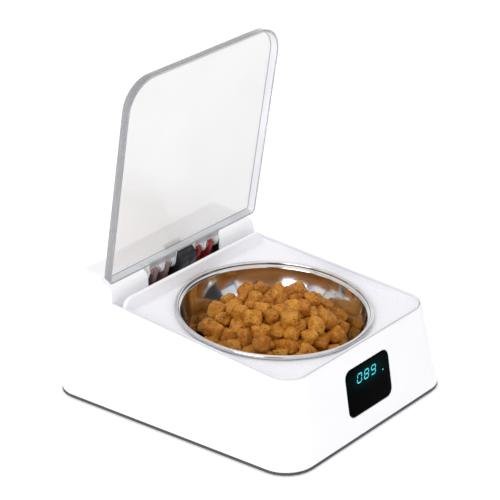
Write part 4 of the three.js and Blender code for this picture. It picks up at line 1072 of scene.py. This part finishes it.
def make_light():
    """A white studio, whose reflections also show the cards and gaps round it, and three softboxes."""
    world = bpy.data.worlds.new("studio")
    world.use_nodes = True
    nodes, links = world.node_tree.nodes, world.node_tree.links
    seen = nodes["Background"]
    seen.inputs["Color"].default_value = (1, 1, 1, 1)
    seen.inputs["Strength"].default_value = BACKDROP_STRENGTH
    around = nodes.new("ShaderNodeBackground")
    around.inputs["Strength"].default_value = SKY_STRENGTH
    toward = coordinates(nodes, links, "Generated")
    sky = ramp(nodes, links, toward["Z"], [
        (0.0, (0.92, 0.92, 0.93)), (0.3, (1, 1, 1.01)), (1.0, (1.02, 1.02, 1.05))])
    links.new(sky, around.inputs["Color"])
    across = nodes.new("ShaderNodeMath")
    across.operation = "ARCTAN2"
    links.new(toward["X"], across.inputs[0])
    links.new(toward["Y"], across.inputs[1])
    turn = spread(nodes, links, across.outputs["Value"], 0, 1, (-math.pi, math.pi))
    studio = ramp(nodes, links, turn, [(azimuth_place(azimuth), color) for azimuth, color in STUDIO_CARDS])
    height = ramp(nodes, links, toward["Z"], [(CARDS_TOP, (0, 0, 0)), (CARDS_END, (1, 1, 1))])
    cards = nodes.new("ShaderNodeMix")
    cards.data_type = "RGBA"
    links.new(height, cards.inputs["Factor"])
    links.new(studio, cards.inputs["A"])
    links.new(sky, cards.inputs["B"])
    mirrored = nodes.new("ShaderNodeBackground")
    mirrored.inputs["Strength"].default_value = MIRRORED_STRENGTH
    links.new(cards.outputs["Result"], mirrored.inputs["Color"])
    path = nodes.new("ShaderNodeLightPath")
    straight = nodes.new("ShaderNodeMath")
    straight.operation = "MAXIMUM"
    links.new(path.outputs["Is Camera Ray"], straight.inputs[0])
    links.new(path.outputs["Is Transmission Ray"], straight.inputs[1])
    glossy = nodes.new("ShaderNodeMixShader")
    links.new(path.outputs["Is Glossy Ray"], glossy.inputs["Fac"])
    links.new(around.outputs["Background"], glossy.inputs[1])
    links.new(mirrored.outputs["Background"], glossy.inputs[2])
    choose = nodes.new("ShaderNodeMixShader")
    links.new(straight.outputs["Value"], choose.inputs["Fac"])
    links.new(glossy.outputs["Shader"], choose.inputs[1])
    links.new(seen.outputs["Background"], choose.inputs[2])
    links.new(choose.outputs["Shader"], nodes["World Output"].inputs["Surface"])
    bpy.context.scene.world = world
    softbox("left_box", (-1.35, -0.35, 0.75), (0.8, 0.7), 6)
    softbox("top_box", (0.15, 0.25, 1.5), (0.8, 0.8), 1.2)
    softbox("front_box", (0.35, -1.5, 0.8), (0.6, 0.6), 0.8)
    bpy.context.scene.view_settings.view_transform = "Standard"
    bpy.context.scene.view_settings.look = "None"


# ---------------------------------------------------------------- carried-over CAD nodes
EDGE_ROUNDING, EDGE_STEPS, WELD_DISTANCE = 0.18, 2, 0.01
KEPT = (
    (WHITE, "tare_button"),
    (SEAL_WHITE, "lid_seal"),
    (BASE_GREY, "base_plate rear_frame weigh_plate"),
    (SHAFT_STEEL, "hinge_shaft lid_motor"),
    (SCREW_STEEL, "idler_pin motor_shaft usb_socket"),
    (SCREW_STEEL, "housing_screw tray_screw bracket_screw frame_screw display_screw"),
    (MAROON_PAINTED_REFLECTION, "hinge_bracket_left"),
    (RED, "hinge_bracket_right"),
    (BRONZE, "shaft_bush"),
    (BRASS, "motor_pinion"),
    (BLACK, "gearbox battery_holder controller_chip digit_module sensor"),
    (BLACK, "switch_body power_rocker tare_switch"),
    (NYLON, "lid_gear idler_gear"),
    (ALUMINIUM, "load_cell"),
    (CELL_WRAP, "battery_cell"),
    (BOARD_GREEN, "main_board usb_board button_board display_board"),
    (RUBBER, "foot"),
)


def kept_material(name):
    """The material of a kept CAD node, by how its name starts."""
    return next(material for material, starts in KEPT if name.startswith(tuple(starts.split())))


def dress_cad_nodes():
    """Gives every kept part its material and rounds its moulded or turned edges."""
    for name, node in frame["nodes"].items():
        if node.hide_render:
            continue
        weld = node.modifiers.new("weld", "WELD")
        weld.merge_threshold = WELD_DISTANCE * MM
        rounded = node.modifiers.new("edges", "BEVEL")
        rounded.width = EDGE_ROUNDING * MM
        rounded.segments = EDGE_STEPS
        rounded.limit_method = "ANGLE"
        rounded.angle_limit = math.radians(SHARP_ANGLE)
        node.data.shade_smooth()
        node.data.set_sharp_from_angle(angle=math.radians(SHARP_ANGLE))
        node.data.materials.clear()
        node.data.materials.append(kept_material(name))


make_camera()
make_light()
stage_plane()
upper_housing()
bowl_tray()
bowl()
lid()
display()
kibble()
dress_cad_nodes()
